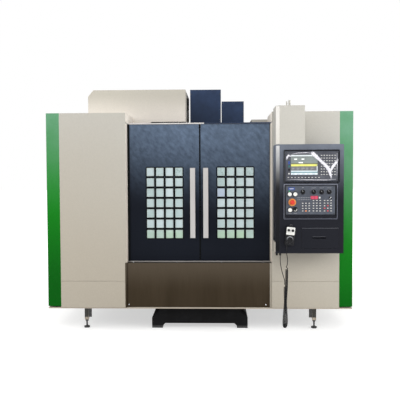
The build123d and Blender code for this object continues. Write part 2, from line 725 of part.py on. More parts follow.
def door_tracks():
    # Upper and lower tracks: a plate over each end of the doors with a lip in front of it.
    top0 = DOOR_TOP + TRACK_CLEARANCE
    upper = box(-TRACK_HALF, TRACK_HALF, TRACK_Y0, TRACK_Y1, top0, top0 + TRACK_PLATE)
    upper += box(-TRACK_HALF, TRACK_HALF, TRACK_Y0, TRACK_Y0 + SKIN, top0 - TRACK_LIP, top0)
    upper += box(-TRACK_HALF, TRACK_HALF, TRACK_Y1 - SKIN, TRACK_Y1, top0 - TRACK_TOP_LIP, top0)
    for x in (OPENING_HALF + TRACK_TAB_OUTSET, LINER_HALF - TRACK_TAB_INSET):
        tab = box(x - TRACK_TAB_HALF, x + TRACK_TAB_HALF, TRACK_Y1, LINER_FRONT, top0, top0 + TRACK_PLATE)
        upper += tab + mirror_x(tab)
    low1 = DOOR_BOTTOM - TRACK_CLEARANCE
    lower = box(-TRACK_HALF, TRACK_HALF, TRACK_Y0, TRACK_Y1, low1 - TRACK_PLATE, low1)
    lower += box(-TRACK_HALF, TRACK_HALF, TRACK_Y0, TRACK_Y0 + SKIN, low1, low1 + TRACK_LIP)
    lower += box(-TRACK_HALF, TRACK_HALF, TRACK_Y1 - SKIN, TRACK_Y1, low1, low1 + TRACK_LOW_LIP)
    return [upper, lower]


def pane_centres(side):
    spots = []
    for i in range(PANE_COLUMNS):
        x = side * PANE_X + (i - (PANE_COLUMNS - 1) / 2) * PANE_PITCH_X
        for j in range(PANE_ROWS):
            spots.append((x, PANE_Z + (j - (PANE_ROWS - 1) / 2) * PANE_PITCH_Z))
    return spots


def door():
    x1 = DOOR_SPLIT / 2 + DOOR_WIDTH
    leaf = tray_front(DOOR_SPLIT / 2, x1, DOOR_BOTTOM, DOOR_TOP, DOOR_Y, DOOR_THICKNESS, DOOR_SKIN)
    holes = [box(x - PANE_WIDTH / 2, x + PANE_WIDTH / 2, DOOR_Y - 1, DOOR_Y + DOOR_SKIN + 1,
                 z - PANE_HEIGHT / 2, z + PANE_HEIGHT / 2) for x, z in pane_centres(1)]
    leaf -= holes
    leaf -= box(0, DOOR_NOTCH_X, DOOR_Y - 1, DOOR_Y + DOOR_THICKNESS + 1,
                DOOR_TOP - DOOR_NOTCH_Z, DOOR_TOP + 1)
    # Guide shoes that run in the two tracks.
    reach = TRACK_CLEARANCE - RUNNING_GAP
    y0, y1 = DOOR_Y + SHOE_MARGIN, DOOR_Y + DOOR_THICKNESS - SHOE_MARGIN
    for x in (SHOE_INSET, DOOR_WIDTH - SHOE_INSET - SHOE_LENGTH):
        leaf += box(x, x + SHOE_LENGTH, y0, y1, DOOR_TOP, DOOR_TOP + reach)
        leaf += box(x, x + SHOE_LENGTH, y0, y1, DOOR_BOTTOM - reach, DOOR_BOTTOM)
    return leaf


def window_sheet():
    half_x = (PANE_COLUMNS - 1) / 2 * PANE_PITCH_X + PANE_WIDTH / 2 + SHEET_LAP
    half_z = (PANE_ROWS - 1) / 2 * PANE_PITCH_Z + PANE_HEIGHT / 2 + SHEET_LAP
    y0 = DOOR_Y + DOOR_SKIN
    return box(PANE_X - half_x, PANE_X + half_x, y0, y0 + SHEET_THICKNESS, PANE_Z - half_z, PANE_Z + half_z)


def door_handle():
    front = DOOR_Y - HANDLE_STAND
    bar = box(HANDLE_X - HANDLE_WIDTH / 2, HANDLE_X + HANDLE_WIDTH / 2, front, front + HANDLE_THICKNESS,
              HANDLE_BOTTOM, HANDLE_TOP)
    for z in (HANDLE_BOTTOM + HANDLE_POST_INSET, HANDLE_TOP - HANDLE_POST_INSET):
        bar += rod_y(HANDLE_X, front + HANDLE_THICKNESS, DOOR_Y, z, HANDLE_POST_R)
    return bar


# Chamber

def chamber_liner():
    t = LINER_WALL
    back = COLUMN_FRONT - LINER_REAR_GAP
    base = BASE_HALF_TOP + LINER_SIDE_GAP
    side = box(LINER_HALF, LINER_HALF + t, LINER_FRONT, back, LINER_FLOOR, LINER_TOP)
    floor = box(base, LINER_HALF, LINER_FRONT, back, LINER_FLOOR, LINER_FLOOR + t)
    rear = box(COLUMN_HALF_FOOT + LINER_SIDE_GAP, LINER_HALF, back - t, back, LINER_FLOOR + t, LINER_TOP)
    front = box(OPENING_HALF + 8, LINER_HALF, LINER_FRONT, LINER_FRONT + t, LINER_FLOOR + t, LINER_TOP)
    half = [side, floor, rear, front]
    lip = DOOR_BOTTOM - TRACK_CLEARANCE - TRACK_PLATE - 2
    low = box(-OPENING_HALF - 8, OPENING_HALF + 8, LINER_FRONT, LINER_FRONT + t, LINER_FLOOR, lip)
    low -= box(-base, base, LINER_FRONT - 1, LINER_FRONT + t + 1, 0, BASE_TOP)
    low += box(-OPENING_HALF - 8, OPENING_HALF + 8, LINER_FRONT, LINER_FRONT + 7, lip - 2, lip)
    return half + [mirror_x(wall) for wall in half] + [low]


# Bed, column and axes

def base_casting():
    foot, top = BASE_HALF_FOOT, BASE_HALF_TOP
    outline = [(-foot, PAD_HEIGHT), (-BASE_ARCH_FOOT, PAD_HEIGHT), (-BASE_ARCH_TOP, BASE_ARCH_HIGH),
               (BASE_ARCH_TOP, BASE_ARCH_HIGH), (BASE_ARCH_FOOT, PAD_HEIGHT), (foot, PAD_HEIGHT),
               (foot, BASE_SHOULDER_LOW), (top, BASE_SHOULDER_HIGH), (top, BASE_TOP),
               (-top, BASE_TOP), (-top, BASE_SHOULDER_HIGH), (-foot, BASE_SHOULDER_LOW)]
    body = extrude_y(outline, BASE_FRONT + BASE_NOSE, BASE_REAR)
    nose = BASE_NOSE_HALF
    front = outline[:7] + [(nose, BASE_NOSE_SHOULDER), (nose, BASE_TOP), (-nose, BASE_TOP),
                           (-nose, BASE_NOSE_SHOULDER), (-foot, BASE_SHOULDER_LOW)]
    body += extrude_y(front, BASE_FRONT, BASE_FRONT + BASE_NOSE)
    body += box(-BASE_REAR_HALF, BASE_REAR_HALF, COLUMN_FRONT - 20, BASE_REAR, BASE_SHOULDER_HIGH, BASE_TOP)
    # The trough between the ways, and the pockets of the ribbed side walls.
    body -= box(-TROUGH_HALF, TROUGH_HALF, BASE_FRONT + TROUGH_START, COLUMN_FRONT - TROUGH_END,
                BASE_TOP - TROUGH_DEPTH, BASE_TOP + 1)
    for i in range(BASE_POCKET_COUNT):
        y = BASE_FRONT + BASE_POCKET_START + i * BASE_POCKET_PITCH
        for x in (-BASE_HALF_TOP - 1, BASE_HALF_TOP - BASE_POCKET_DEPTH):
            body -= box(x, x + BASE_POCKET_DEPTH + 1, y, y + BASE_POCKET_LENGTH,
                        BASE_POCKET_Z0, BASE_POCKET_Z1)
    return body


def guide_rails():
    rails = []
    for x in (-Y_RAIL_X, Y_RAIL_X):
        rails.append(box(x - RAIL_WIDTH / 2, x + RAIL_WIDTH / 2, Y_RAIL_Y0, Y_RAIL_Y1,
                         BASE_TOP, BASE_TOP + RAIL_HEIGHT))
    for x in (-Z_RAIL_X, Z_RAIL_X):
        rails.append(box(x - RAIL_WIDTH / 2, x + RAIL_WIDTH / 2, COLUMN_FRONT - RAIL_HEIGHT, COLUMN_FRONT,
                         Z_RAIL_Z0, Z_RAIL_Z1))
    return rails


def column():
    # A herringbone column: wide feet each side of the arch that the rear way cover runs into.
    knee = COLUMN_KNEE
    outline = [(-COLUMN_HALF_FOOT, BASE_TOP), (-COLUMN_ARCH_HALF, BASE_TOP),
               (-COLUMN_ARCH_HALF, COLUMN_ARCH_TOP - 20), (-COLUMN_ARCH_HALF + 20, COLUMN_ARCH_TOP),
               (COLUMN_ARCH_HALF - 20, COLUMN_ARCH_TOP), (COLUMN_ARCH_HALF, COLUMN_ARCH_TOP - 20),
               (COLUMN_ARCH_HALF, BASE_TOP), (COLUMN_HALF_FOOT, BASE_TOP),
               (COLUMN_HALF_FOOT, COLUMN_ARCH_TOP + 60), (COLUMN_HALF_TOP, knee),
               (COLUMN_HALF_TOP, COLUMN_TOP), (-COLUMN_HALF_TOP, COLUMN_TOP),
               (-COLUMN_HALF_TOP, knee), (-COLUMN_HALF_FOOT, COLUMN_ARCH_TOP + 60)]
    body = extrude_y(outline, COLUMN_FRONT, BASE_REAR)
    body -= box(-SCREW_SLOT_HALF, SCREW_SLOT_HALF, COLUMN_FRONT - 1, COLUMN_FRONT + SCREW_SLOT_DEPTH,
                Z_RAIL_Z0, COLUMN_TOP + 1)
    y0, y1 = COLUMN_FRONT + COLUMN_POCKET_INSET, BASE_REAR - COLUMN_POCKET_INSET
    for x in (-COLUMN_HALF_TOP - 1, COLUMN_HALF_TOP - COLUMN_POCKET_DEPTH):
        for z in COLUMN_POCKET_ZS:
            body -= box(x, x + COLUMN_POCKET_DEPTH + 1, y0, y1, z, z + COLUMN_POCKET_HEIGHT)
    return body


def servo_motor(along, x, y, z, length):
    half, cap, end = MOTOR_SIDE / 2, MOTOR_CAP_HALF, length + MOTOR_CAP_LENGTH
    if along == "z":
        body = box(x - half, x + half, y - half, y + half, z, z + length)
        return body + box(x - cap, x + cap, y - cap, y + cap, z + length, z + end)
    body = box(x - half, x + half, y - length, y, z - half, z + half)
    return body + box(x - cap, x + cap, y - end, y - length, z - cap, z + cap)


def axis_motors():
    # The Y motor sits in the trough at the front of the bed, the Z motor on the column top.
    y_motor = servo_motor("y", 0, Y_MOTOR_Y, BASE_TOP - Y_MOTOR_DROP, MOTOR_LENGTH)
    y_motor += box(-MOTOR_PLATE_HALF, MOTOR_PLATE_HALF, Y_MOTOR_Y, Y_MOTOR_Y + MOTOR_PLATE,
                   BASE_TOP - TROUGH_DEPTH, BASE_TOP - 10)
    y = COLUMN_FRONT + Z_MOTOR_SETBACK
    rear = y + MOTOR_SIDE / 2 + MOTOR_PLATE
    top = COLUMN_TOP + Z_MOTOR_STAND
    z_motor = servo_motor("z", 0, y, top, MOTOR_LENGTH)
    z_motor += box(-MOTOR_PLATE_HALF, MOTOR_PLATE_HALF, COLUMN_FRONT + SCREW_SLOT_DEPTH + 2, rear,
                   COLUMN_TOP, top)
    z_motor += box(-MOTOR_PLATE_HALF, MOTOR_PLATE_HALF, COLUMN_FRONT + 2, rear, top - MOTOR_PLATE, top)
    return [y_motor, z_motor]


def carriage(along, x, y, z, height):
    # A rail carriage: a block over the rail, with the rail's channel cut out of it.
    w, n, g = BLOCK_WIDTH / 2, BLOCK_LENGTH / 2, BLOCK_GAP
    r = RAIL_WIDTH / 2 + g
    top = RAIL_HEIGHT + g
    low = RAIL_HEIGHT - BLOCK_LAP
    if along == "y":
        body = box(x - w, x + w, y - n, y + n, z + low, z + height)
        return body - box(x - r, x + r, y - n - 1, y + n + 1, z - 1, z + top)
    if along == "x":
        body = box(x - n, x + n, y - w, y + w, z + low, z + height)
        return body - box(x - n - 1, x + n + 1, y - r, y + r, z - 1, z + top)
    body = box(x - w, x + w, y - height, y - low, z - n, z + n)
    return body - box(x - r, x + r, y - top, y + 1, z - n - 1, z + n + 1)


def saddle():
    y0, y1 = SPINDLE_Y - SADDLE_HALF_Y, SPINDLE_Y + SADDLE_HALF_Y
    body = box(-SADDLE_HALF_X, SADDLE_HALF_X, y0, y1, SADDLE_BOTTOM, SADDLE_TOP)
    body -= box(-SADDLE_HALF_X + 60, SADDLE_HALF_X - 60, SPINDLE_Y - 70, SPINDLE_Y + 70,
                SADDLE_TOP - 60, SADDLE_TOP + 1)
    parts = [body]
    for side in (-1, 1):
        for end in (-1, 1):
            y = SPINDLE_Y + end * Y_BLOCK_Y
            parts.append(carriage("y", side * Y_RAIL_X, y, BASE_TOP, SADDLE_BOTTOM - BASE_TOP))
        y = SPINDLE_Y + side * X_RAIL_Y
        parts.append(box(-SADDLE_HALF_X, SADDLE_HALF_X, y - RAIL_WIDTH / 2, y + RAIL_WIDTH / 2,
                         SADDLE_TOP, SADDLE_TOP + RAIL_HEIGHT))
    return parts


def table():
    body = box(-TABLE_HALF_X, TABLE_HALF_X, SPINDLE_Y - TABLE_HALF_Y, SPINDLE_Y + TABLE_HALF_Y,
               TABLE_BOTTOM, TABLE_TOP)
    for i in range(SLOT_COUNT):
        y = SPINDLE_Y + (i - (SLOT_COUNT - 1) / 2) * SLOT_PITCH
        body -= box(-TABLE_HALF_X - 1, TABLE_HALF_X + 1, y - SLOT_WIDTH / 2, y + SLOT_WIDTH / 2,
                    TABLE_TOP - SLOT_NECK, TABLE_TOP + 1)
        body -= box(-TABLE_HALF_X - 1, TABLE_HALF_X + 1, y - SLOT_WIDE / 2, y + SLOT_WIDE / 2,
                    TABLE_TOP - SLOT_NECK - SLOT_FOOT, TABLE_TOP - SLOT_NECK)
    parts = [body]
    for side in (-1, 1):
        for end in (-1, 1):
            parts.append(carriage("x", end * X_BLOCK_X, SPINDLE_Y + side * X_RAIL_Y, SADDLE_TOP,
                                  TABLE_BOTTOM - SADDLE_TOP))
    return parts


def x_way_covers():
    t = WAY_PLATE
    y0, y1 = SPINDLE_Y - X_WAY_HALF, SPINDLE_Y + X_WAY_HALF
    x0, x1 = TABLE_HALF_X, TABLE_HALF_X + X_WAY_REACH
    hood = box(x0, x1, y0, y1, X_WAY_SKIRT, X_WAY_TOP)
    hood -= box(x0 - 1, x1 + 1, y0 + t, y1 - t, X_WAY_SKIRT - 1, X_WAY_TOP - t)
    return [hood, mirror_x(hood)]


def y_way_hood(step, y0, length):
    # One section of the telescopic cover over the Y ways; a higher step number is a larger section.
    t = WAY_PLATE
    half = Y_WAY_HALF + step * WAY_STEP
    top = Y_WAY_Z + step * WAY_STEP
    foot = BASE_TOP if step == 0 else BASE_TOP + RUNNING_GAP
    hood = box(-half, half, y0, y0 + length, foot, top)
    return hood - box(-half + t, half - t, y0 - 1, y0 + length + 1, foot - 1, top - t)


def y_way_start(step):
    rest = SPINDLE_Y - SADDLE_HALF_Y - Y_WAY_LENGTH - Y_WAY_START
    return Y_WAY_START + rest * step / 3


def z_way_hood(step, z0, length):
    t = WAY_PLATE
    half = Z_WAY_HALF + step * WAY_STEP
    y = Z_WAY_Y - step * WAY_STEP
    back = COLUMN_FRONT if step == 0 else COLUMN_FRONT - RUNNING_GAP
    hood = box(-half, half, y, back, z0, z0 + length)
    return hood - box(-half + t, half - t, y + t, back + 1, z0 - 1, z0 + length + 1)


def way_covers_fixed():
    front = y_way_hood(0, Y_WAY_START, Y_WAY_LENGTH)
    return [front, z_way_hood(0, Z_WAY_BOTTOM, Z_WAY_FIXED)]


def saddle_covers():
    t = WAY_PLATE
    half = Y_WAY_HALF + 3 * WAY_STEP
    top = Y_WAY_Z + 3 * WAY_STEP
    front_y, rear_y = SPINDLE_Y - SADDLE_HALF_Y, SPINDLE_Y + SADDLE_HALF_Y
    front = y_way_hood(3, y_way_start(3), Y_WAY_LENGTH)
    front += box(-half, half, front_y - t, front_y, top - t, SADDLE_TOP)
    rear = y_way_hood(3, rear_y, Y_WAY_REAR)
    rear += box(-half, half, rear_y, rear_y + t, top - t, SADDLE_TOP)
    return [front, rear]


def head():
    y_plate = COLUMN_FRONT - HEAD_STANDOFF
    plate = box(-HEAD_PLATE_HALF, HEAD_PLATE_HALF, y_plate - HEAD_PLATE_DEPTH, y_plate,
                HEAD_BOTTOM, HEAD_PLATE_TOP)
    body = box(-HEAD_HALF, HEAD_HALF, HEAD_FRONT, y_plate - HEAD_PLATE_DEPTH, HEAD_BOTTOM, HEAD_TOP)
    front_edges = body.edges().filter_by(Axis.Z).group_by(Axis.Y)[0]
    body = chamfer(front_edges, 40)
    lift = [(HEAD_FRONT + 260, HEAD_BOTTOM - 1), (y_plate - HEAD_PLATE_DEPTH, HEAD_BOTTOM - 1),
            (y_plate - HEAD_PLATE_DEPTH, HEAD_BOTTOM + 90)]
    wedge = Plane(origin=(-HEAD_HALF - 1, 0, 0), x_dir=(0, 1, 0), z_dir=(1, 0, 0))
    body -= extrude(wedge * make_face(Polyline(*lift, close=True)), 2 * HEAD_HALF + 2)
    quill = rod_z(0, SPINDLE_Y, NOSE_Z + NOSE_LENGTH, HEAD_BOTTOM, QUILL_R)
    casting = plate + body + quill
    casting -= rod_z(0, SPINDLE_Y, NOSE_Z + 10, NOSE_Z + NOSE_LENGTH + 60, NOSE_R + BEARING_GAP)
    motor = rod_z(0, SPINDLE_Y, HEAD_TOP, SPINDLE_MOTOR_TOP, SPINDLE_MOTOR_R)
    parts = [casting, motor]
    middle = (HEAD_BOTTOM + HEAD_PLATE_TOP) / 2
    for side in (-1, 1):
        for end in (-1, 1):
            parts.append(carriage("z", side * Z_RAIL_X, COLUMN_FRONT, middle + end * Z_BLOCK_Z,
                                  HEAD_STANDOFF))
    apron_plate = z_way_hood(2, HEAD_BOTTOM - Z_WAY_HEAD, Z_WAY_HEAD)
    half = Z_WAY_HALF + 2 * WAY_STEP
    front = Z_WAY_Y - 2 * WAY_STEP
    apron_plate += box(-half, half, y_plate - 8, front + WAY_PLATE, HEAD_BOTTOM - WAY_PLATE, HEAD_BOTTOM)
    parts.append(apron_plate)
    return parts


def spindle():
    nose = rod_z(0, SPINDLE_Y, NOSE_Z, NOSE_Z + NOSE_LENGTH + 50, NOSE_R)
    taper = Pos(0, SPINDLE_Y, NOSE_Z + TAPER_DEPTH / 2) * Cone(TAPER_R, TAPER_TIP_R, TAPER_DEPTH)
    nose -= taper
    for side in (-1, 1):
        nose += box(side * 34 - 6, side * 34 + 6, SPINDLE_Y - 8, SPINDLE_Y + 8, NOSE_Z - 8, NOSE_Z)
    return nose


def head_covers():
    t = SKIN
    big = box(COVER_X0, COVER_X1, COVER_FRONT, COVER_REAR, HEAD_TOP, COVER_TOP)
    big -= box(COVER_X0 + t, COVER_X1 - t, COVER_FRONT + t, COVER_REAR - t, HEAD_TOP - 1, COVER_TOP - t)
    small = box(SIDE_COVER_X0, SIDE_COVER_X1, SIDE_COVER_FRONT, SIDE_COVER_REAR,
                SIDE_COVER_BOTTOM, SIDE_COVER_TOP)
    small -= box(SIDE_COVER_X0 + t, SIDE_COVER_X1 - t, SIDE_COVER_FRONT + t, SIDE_COVER_REAR - t,
                 SIDE_COVER_BOTTOM + t, SIDE_COVER_TOP - t)
    bracket = box(HEAD_HALF, SIDE_COVER_X0, 860, 960, SIDE_COVER_BOTTOM + 10, HEAD_TOP)
    return [big, small, bracket]


# Tool changer

def magazine_cover():
    x0, x1 = MAG_X0, MAG_X1
    top = MAG_TOP
    outline = [(x0, MAG_BOTTOM), (MAG_STEP_X, MAG_BOTTOM), (MAG_STEP_X, MAG_STEP_Z), (x1, MAG_STEP_Z),
               (x1, top), (x0 + MAG_CHAMFER_X, top), (x0, top - MAG_CHAMFER_Z)]
    body = extrude_y(outline, MAG_FRONT, MAG_REAR)
    t = SKIN
    inner = [(x0 + t, MAG_BOTTOM - 1), (MAG_STEP_X - t, MAG_BOTTOM - 1), (MAG_STEP_X - t, MAG_STEP_Z - 1),
             (x1 - t, MAG_STEP_Z - 1), (x1 - t, top - t), (x0 + MAG_CHAMFER_X + t * 0.4, top - t),
             (x0 + t, top - MAG_CHAMFER_Z - t * 0.4)]
    body -= extrude_y(inner, MAG_FRONT + t, MAG_REAR - t)
    return body - rod_x(MAG_STEP_X - t - 1, MAG_STEP_X + 1, SPINDLE_Y, DISC_Z, HUB_R + HUB_COLLAR + 3)


def magazine_frame():
    h = GEARBOX_HALF
    case = box(ARM_X - h, ARM_X + h, SPINDLE_Y - h, SPINDLE_Y + h, GEARBOX_BOTTOM, GEARBOX_TOP)
    case += box(ARM_X - h, ARM_X + h, SPINDLE_Y + h, COLUMN_FRONT + BEAM_LAP, BEAM_Z0, BEAM_Z1)
    case -= box(-COLUMN_HALF_TOP, 0, COLUMN_FRONT - 1, COLUMN_FRONT + BEAM_LAP + 1, BEAM_Z0 - 1, BEAM_Z1 + 1)
    stop = DISC_X + DISC_THICKNESS + RUNNING_GAP
    case += rod_x(stop, ARM_X - h, SPINDLE_Y, DISC_Z, HUB_R + HUB_COLLAR)
    case += rod_x(DISC_X - DISC_HUB, stop, SPINDLE_Y, DISC_Z, AXLE_R)
    case += box(MAG_STEP_X, ARM_X - h, SPINDLE_Y + 50, SPINDLE_Y + h, GEARBOX_BOTTOM + 60, GEARBOX_TOP)
    case -= rod_z(ARM_X, SPINDLE_Y, GEARBOX_BOTTOM - 1, ARM_SHAFT_TOP + 6, ARM_SHAFT_R + ARM_BORE_GAP)
    motor = rod_z(ARM_X + 20, SPINDLE_Y - 20, GEARBOX_TOP, GEARBOX_TOP + CAM_MOTOR_HEIGHT, CAM_MOTOR_R)
    return [case, motor]


def magazine_disc():
    disc = rod_x(DISC_X, DISC_X + DISC_THICKNESS, SPINDLE_Y, DISC_Z, DISC_R)
    for i in range(DISC_HOLE_COUNT):
        a = 2 * math.pi * (i + 0.5) / DISC_HOLE_COUNT
        disc -= rod_x(DISC_X - 1, DISC_X + DISC_THICKNESS + 1, SPINDLE_Y + DISC_HOLE_PITCH_R * math.cos(a),
                      DISC_Z + DISC_HOLE_PITCH_R * math.sin(a), DISC_HOLE_R)
    disc += rod_x(DISC_X - DISC_HUB, DISC_X, SPINDLE_Y, DISC_Z, HUB_R)
    disc -= rod_x(DISC_X - DISC_HUB - 1, DISC_X + DISC_THICKNESS + 1, SPINDLE_Y, DISC_Z, AXLE_R + PIN_GAP)
    parts = []
    for i in range(POT_COUNT):
        a = 2 * math.pi * i / POT_COUNT - math.pi / 2
        y = SPINDLE_Y + DISC_PITCH_R * math.cos(a)
        z = DISC_Z + DISC_PITCH_R * math.sin(a)
        disc += rod_x(DISC_X - POT_LENGTH, DISC_X + DISC_THICKNESS, y, z, POT_R)
        x1 = DISC_X - POT_LENGTH
        parts.append(rod_x(x1 - TOOL_LENGTH, x1, y, z, TOOL_R))
        if i % 2 == 0:
            x2 = x1 - TOOL_LENGTH
            parts[-1] += rod_x(x2 - SHANK_LENGTH, x2, y, z, SHANK_R)
    return [disc] + parts


def arm_shaft():
    shoulder = ARM_Z + ARM_THICKNESS + RUNNING_GAP
    shaft = rod_z(ARM_X, SPINDLE_Y, shoulder, ARM_SHAFT_TOP, ARM_SHAFT_R)
    return shaft + rod_z(ARM_X, SPINDLE_Y, ARM_Z - ARM_HUB_DROP, shoulder, ARM_PIN_R)


def change_arm():
    # The double-ended arm, parked along Y. Each end has a hook open on the side it swings towards.
    bar = box(ARM_X - ARM_WIDTH / 2, ARM_X + ARM_WIDTH / 2, SPINDLE_Y - ARM_REACH - 20,
              SPINDLE_Y + ARM_REACH + 20, ARM_Z, ARM_Z + ARM_THICKNESS)
    bar += rod_z(ARM_X, SPINDLE_Y, ARM_Z - ARM_HUB_DROP, ARM_Z + ARM_THICKNESS, ARM_HUB_R)
    bar -= rod_z(ARM_X, SPINDLE_Y, ARM_Z - 40, ARM_Z + ARM_THICKNESS + 1, ARM_PIN_R + PIN_GAP)
    for end in (-1, 1):
        y = SPINDLE_Y + end * ARM_REACH
        bar -= rod_z(ARM_X, y, ARM_Z - 1, ARM_Z + ARM_THICKNESS + 1, ARM_GRIP_R)
        x = ARM_X + end * ARM_WIDTH / 2
        bar -= box(min(ARM_X, x + end), max(ARM_X, x + end), y - ARM_GRIP_R, y + ARM_GRIP_R,
                   ARM_Z - 1, ARM_Z + ARM_THICKNESS + 1)
        lean = y - end * 130
        bar -= box(min(ARM_X - end * ARM_WIDTH / 2, ARM_X - end * 20), max(ARM_X - end * ARM_WIDTH / 2,
                   ARM_X - end * 20), min(lean, lean - end * 90), max(lean, lean - end * 90),
                   ARM_Z - 1, ARM_Z + ARM_THICKNESS + 1)
    return bar


# Operator console

def pod_outline(x0, x1, bevel):
    return [(x0, 0), (x0, POD_FRONT + bevel), (x0 + bevel, POD_FRONT), (x1, POD_FRONT), (x1, 0)]


def prism(points, z0, z1):
    face = make_face(Polyline(*points, close=True))
    return extrude(Plane.XY.offset(z0) * face, z1 - z0)


def pod_box():
    t = POD_WALL
    body = prism(pod_outline(POD_X0, POD_BOX_X1, POD_BEVEL), POD_TOP, POD_BOX_TOP)
    inner = [(POD_X0 + t, -t), (POD_X0 + t, POD_FRONT + POD_BEVEL + t * 0.4),
             (POD_X0 + POD_BEVEL + t * 0.4, POD_FRONT + t), (POD_BOX_X1 - t, POD_FRONT + t),
             (POD_BOX_X1 - t, -t)]
    return body - prism(inner, POD_TOP - 1, POD_BOX_TOP - t)


def console_openings():
    y0 = POD_FRONT
    cuts = []
    for x0, x1, z0, z1 in ((SCREEN_X0, SCREEN_X1, SCREEN_Z0, SCREEN_Z1),
                           (PANEL_X0, PANEL_X1, PANEL_Z0, PANEL_Z1)):
        m = RECESS_MARGIN
        cuts.append(box(x0 - m, x1 + m, y0 - 1, y0 + RECESS_DEPTH, z0 - m, z1 + m))
        cuts.append(box(x0 - FIT_GAP, x1 + FIT_GAP, y0 - 1, y0 + POD_FACE + 1, z0 - FIT_GAP, z1 + FIT_GAP))
    cuts.append(box(DRAWER_X0 - DRAWER_GAP, DRAWER_X1 + DRAWER_GAP, y0 - 1, y0 + POD_FACE + 1,
                    DRAWER_Z0 - DRAWER_GAP, DRAWER_Z1 + DRAWER_GAP))
    return cuts


def pod_bezel():
    t = POD_WALL
    body = prism(pod_outline(POD_X0, POD_X1, POD_BEVEL), POD_BOTTOM, POD_TOP)
    inner = [(POD_X0 + t, -t), (POD_X0 + t, POD_FRONT + POD_BEVEL + t * 0.4),
             (POD_X0 + POD_BEVEL + t * 0.4, POD_FRONT + POD_FACE), (POD_X1 - t, POD_FRONT + POD_FACE),
             (POD_X1 - t, -t)]
    body -= prism(inner, POD_BOTTOM + t, POD_TOP - t)
    body -= console_openings()
    # Runners under the drawer, hung from the face and the rear wall.
    for x in (DRAWER_X0 + 20, DRAWER_X1 - 40):
        rest = DRAWER_Z0 - RUNNING_GAP
        body += box(x, x + 20, POD_FRONT + POD_FACE, -t, rest - 14, rest)
    for x, y in GLAND_XY:
        body -= rod_z(x, y, POD_BOTTOM - 1, POD_BOTTOM + t + 1, GLAND_R + 0.5)
    return body


def screen_unit():
    y0 = POD_FRONT + RECESS_DEPTH - 2
    body = box(SCREEN_X0, SCREEN_X1, y0, y0 + SCREEN_DEPTH, SCREEN_Z0, SCREEN_Z1)
    body -= box(LCD_X0, LCD_X1, y0 - 1, y0 + LCD_SINK, LCD_Z0, LCD_Z1)
    flange = box(SCREEN_X0 - 8, SCREEN_X1 + 8, POD_FRONT + POD_FACE, POD_FRONT + POD_FACE + 4,
                 SCREEN_Z0 - 8, SCREEN_Z1 + 8)
    return body + flange


def machine_panel():
    y0 = POD_FRONT + RECESS_DEPTH - 2
    body = box(PANEL_X0, PANEL_X1, y0, y0 + PANEL_DEPTH, PANEL_Z0, PANEL_Z1)
    flange = box(PANEL_X0 - 8, PANEL_X1 + 8, POD_FRONT + POD_FACE, POD_FRONT + POD_FACE + 4,
                 PANEL_Z0 - 8, PANEL_Z1 + 8)
    body += flange
    for x, z in BUTTONS.values():
        body += rod_y(x, y0 - BUTTON_RING_HEIGHT, y0, z, BUTTON_RING_R)
        body -= rod_y(x, y0 - BUTTON_RING_HEIGHT - 1, y0 + PANEL_DEPTH + 1, z, BUTTON_R + BUTTON_GAP)
    x, z = STOP_XZ
    body -= rod_y(x, y0 - 1, y0 + PANEL_DEPTH + 1, z, STOP_STEM_R + BUTTON_GAP)
    for x in SELECTORS.values():
        body -= rod_y(x, y0 - 1, y0 + PANEL_DEPTH + 1, SELECTOR_Z, SELECTOR_STEM_R + BUTTON_GAP)
    x, z = KEY_SWITCH_XZ
    body -= rod_y(x, y0 - 1, y0 + PANEL_DEPTH + 1, z, SELECTOR_STEM_R + BUTTON_GAP)
    return body


def stop_ring():
    x, z = STOP_XZ
    y0 = POD_FRONT + RECESS_DEPTH - 2
    ring = rod_y(x, y0 - STOP_RING_HEIGHT, y0, z, STOP_RING_R)
    return ring - rod_y(x, y0 - STOP_RING_HEIGHT - 1, y0 + 1, z, STOP_STEM_R + BUTTON_GAP)


def membrane_keys():
    keys = []
    y1 = POD_FRONT + RECESS_DEPTH - 2
    y0 = y1 - KEY_HEIGHT

    def key(x, z, size):
        keys.append(box(x - size / 2, x + size / 2, y0, y1, z - size / 2, z + size / 2))
    for i in range(SOFTKEY_COUNT):
        key(SOFTKEY_X0 + i * SOFTKEY_PITCH, SOFTKEY_Z, SOFTKEY_SIZE)
    for i in range(KEYPAD_COLUMNS):
        for j in range(KEYPAD_ROWS):
            key(KEYPAD_X0 + i * KEYPAD_PITCH_X, KEYPAD_Z1 - j * KEYPAD_PITCH_Z, KEYPAD_SIZE)
    for x, skip in PANEL_KEY_COLUMNS:
        for z in PANEL_KEY_ROWS[skip:]:
            key(PANEL_X0 + x, PANEL_Z0 + z, PANEL_KEY_SIZE)
    return keys


def push_button(x, z):
    y0 = POD_FRONT + RECESS_DEPTH - 2
    return rod_y(x, y0 - BUTTON_PROUD, y0 + PANEL_DEPTH - BUTTON_TRAVEL, z, BUTTON_R)


def stop_button():
    x, z = STOP_XZ
    y0 = POD_FRONT + RECESS_DEPTH - 2
    front = y0 - STOP_RING_HEIGHT - STOP_STANDOFF
    cap = rod_y(x, front - STOP_HEAD_HEIGHT, front, z, STOP_HEAD_R)
    cap = chamfer(cap.edges().filter_by(GeomType.CIRCLE).group_by(Axis.Y)[0], 4)
    return cap + rod_y(x, front, y0 + PANEL_DEPTH - STOP_TRAVEL, z, STOP_STEM_R)


def knob(x, z, y_face, r, height, grip, stem):
    # A rotary knob: a skirt, a grip bar across it and a stem into the panel.
    skirt = rod_y(x, y_face - 1 - height * 0.3, y_face - 1, z, r)
    bar = box(x - grip / 2, x + grip / 2, y_face - 1 - height, y_face - 1 - height * 0.3,
              z - r * 0.9, z + r * 0.9)
    return skirt + bar + rod_y(x, y_face - 1, y_face + PANEL_DEPTH, z, stem)


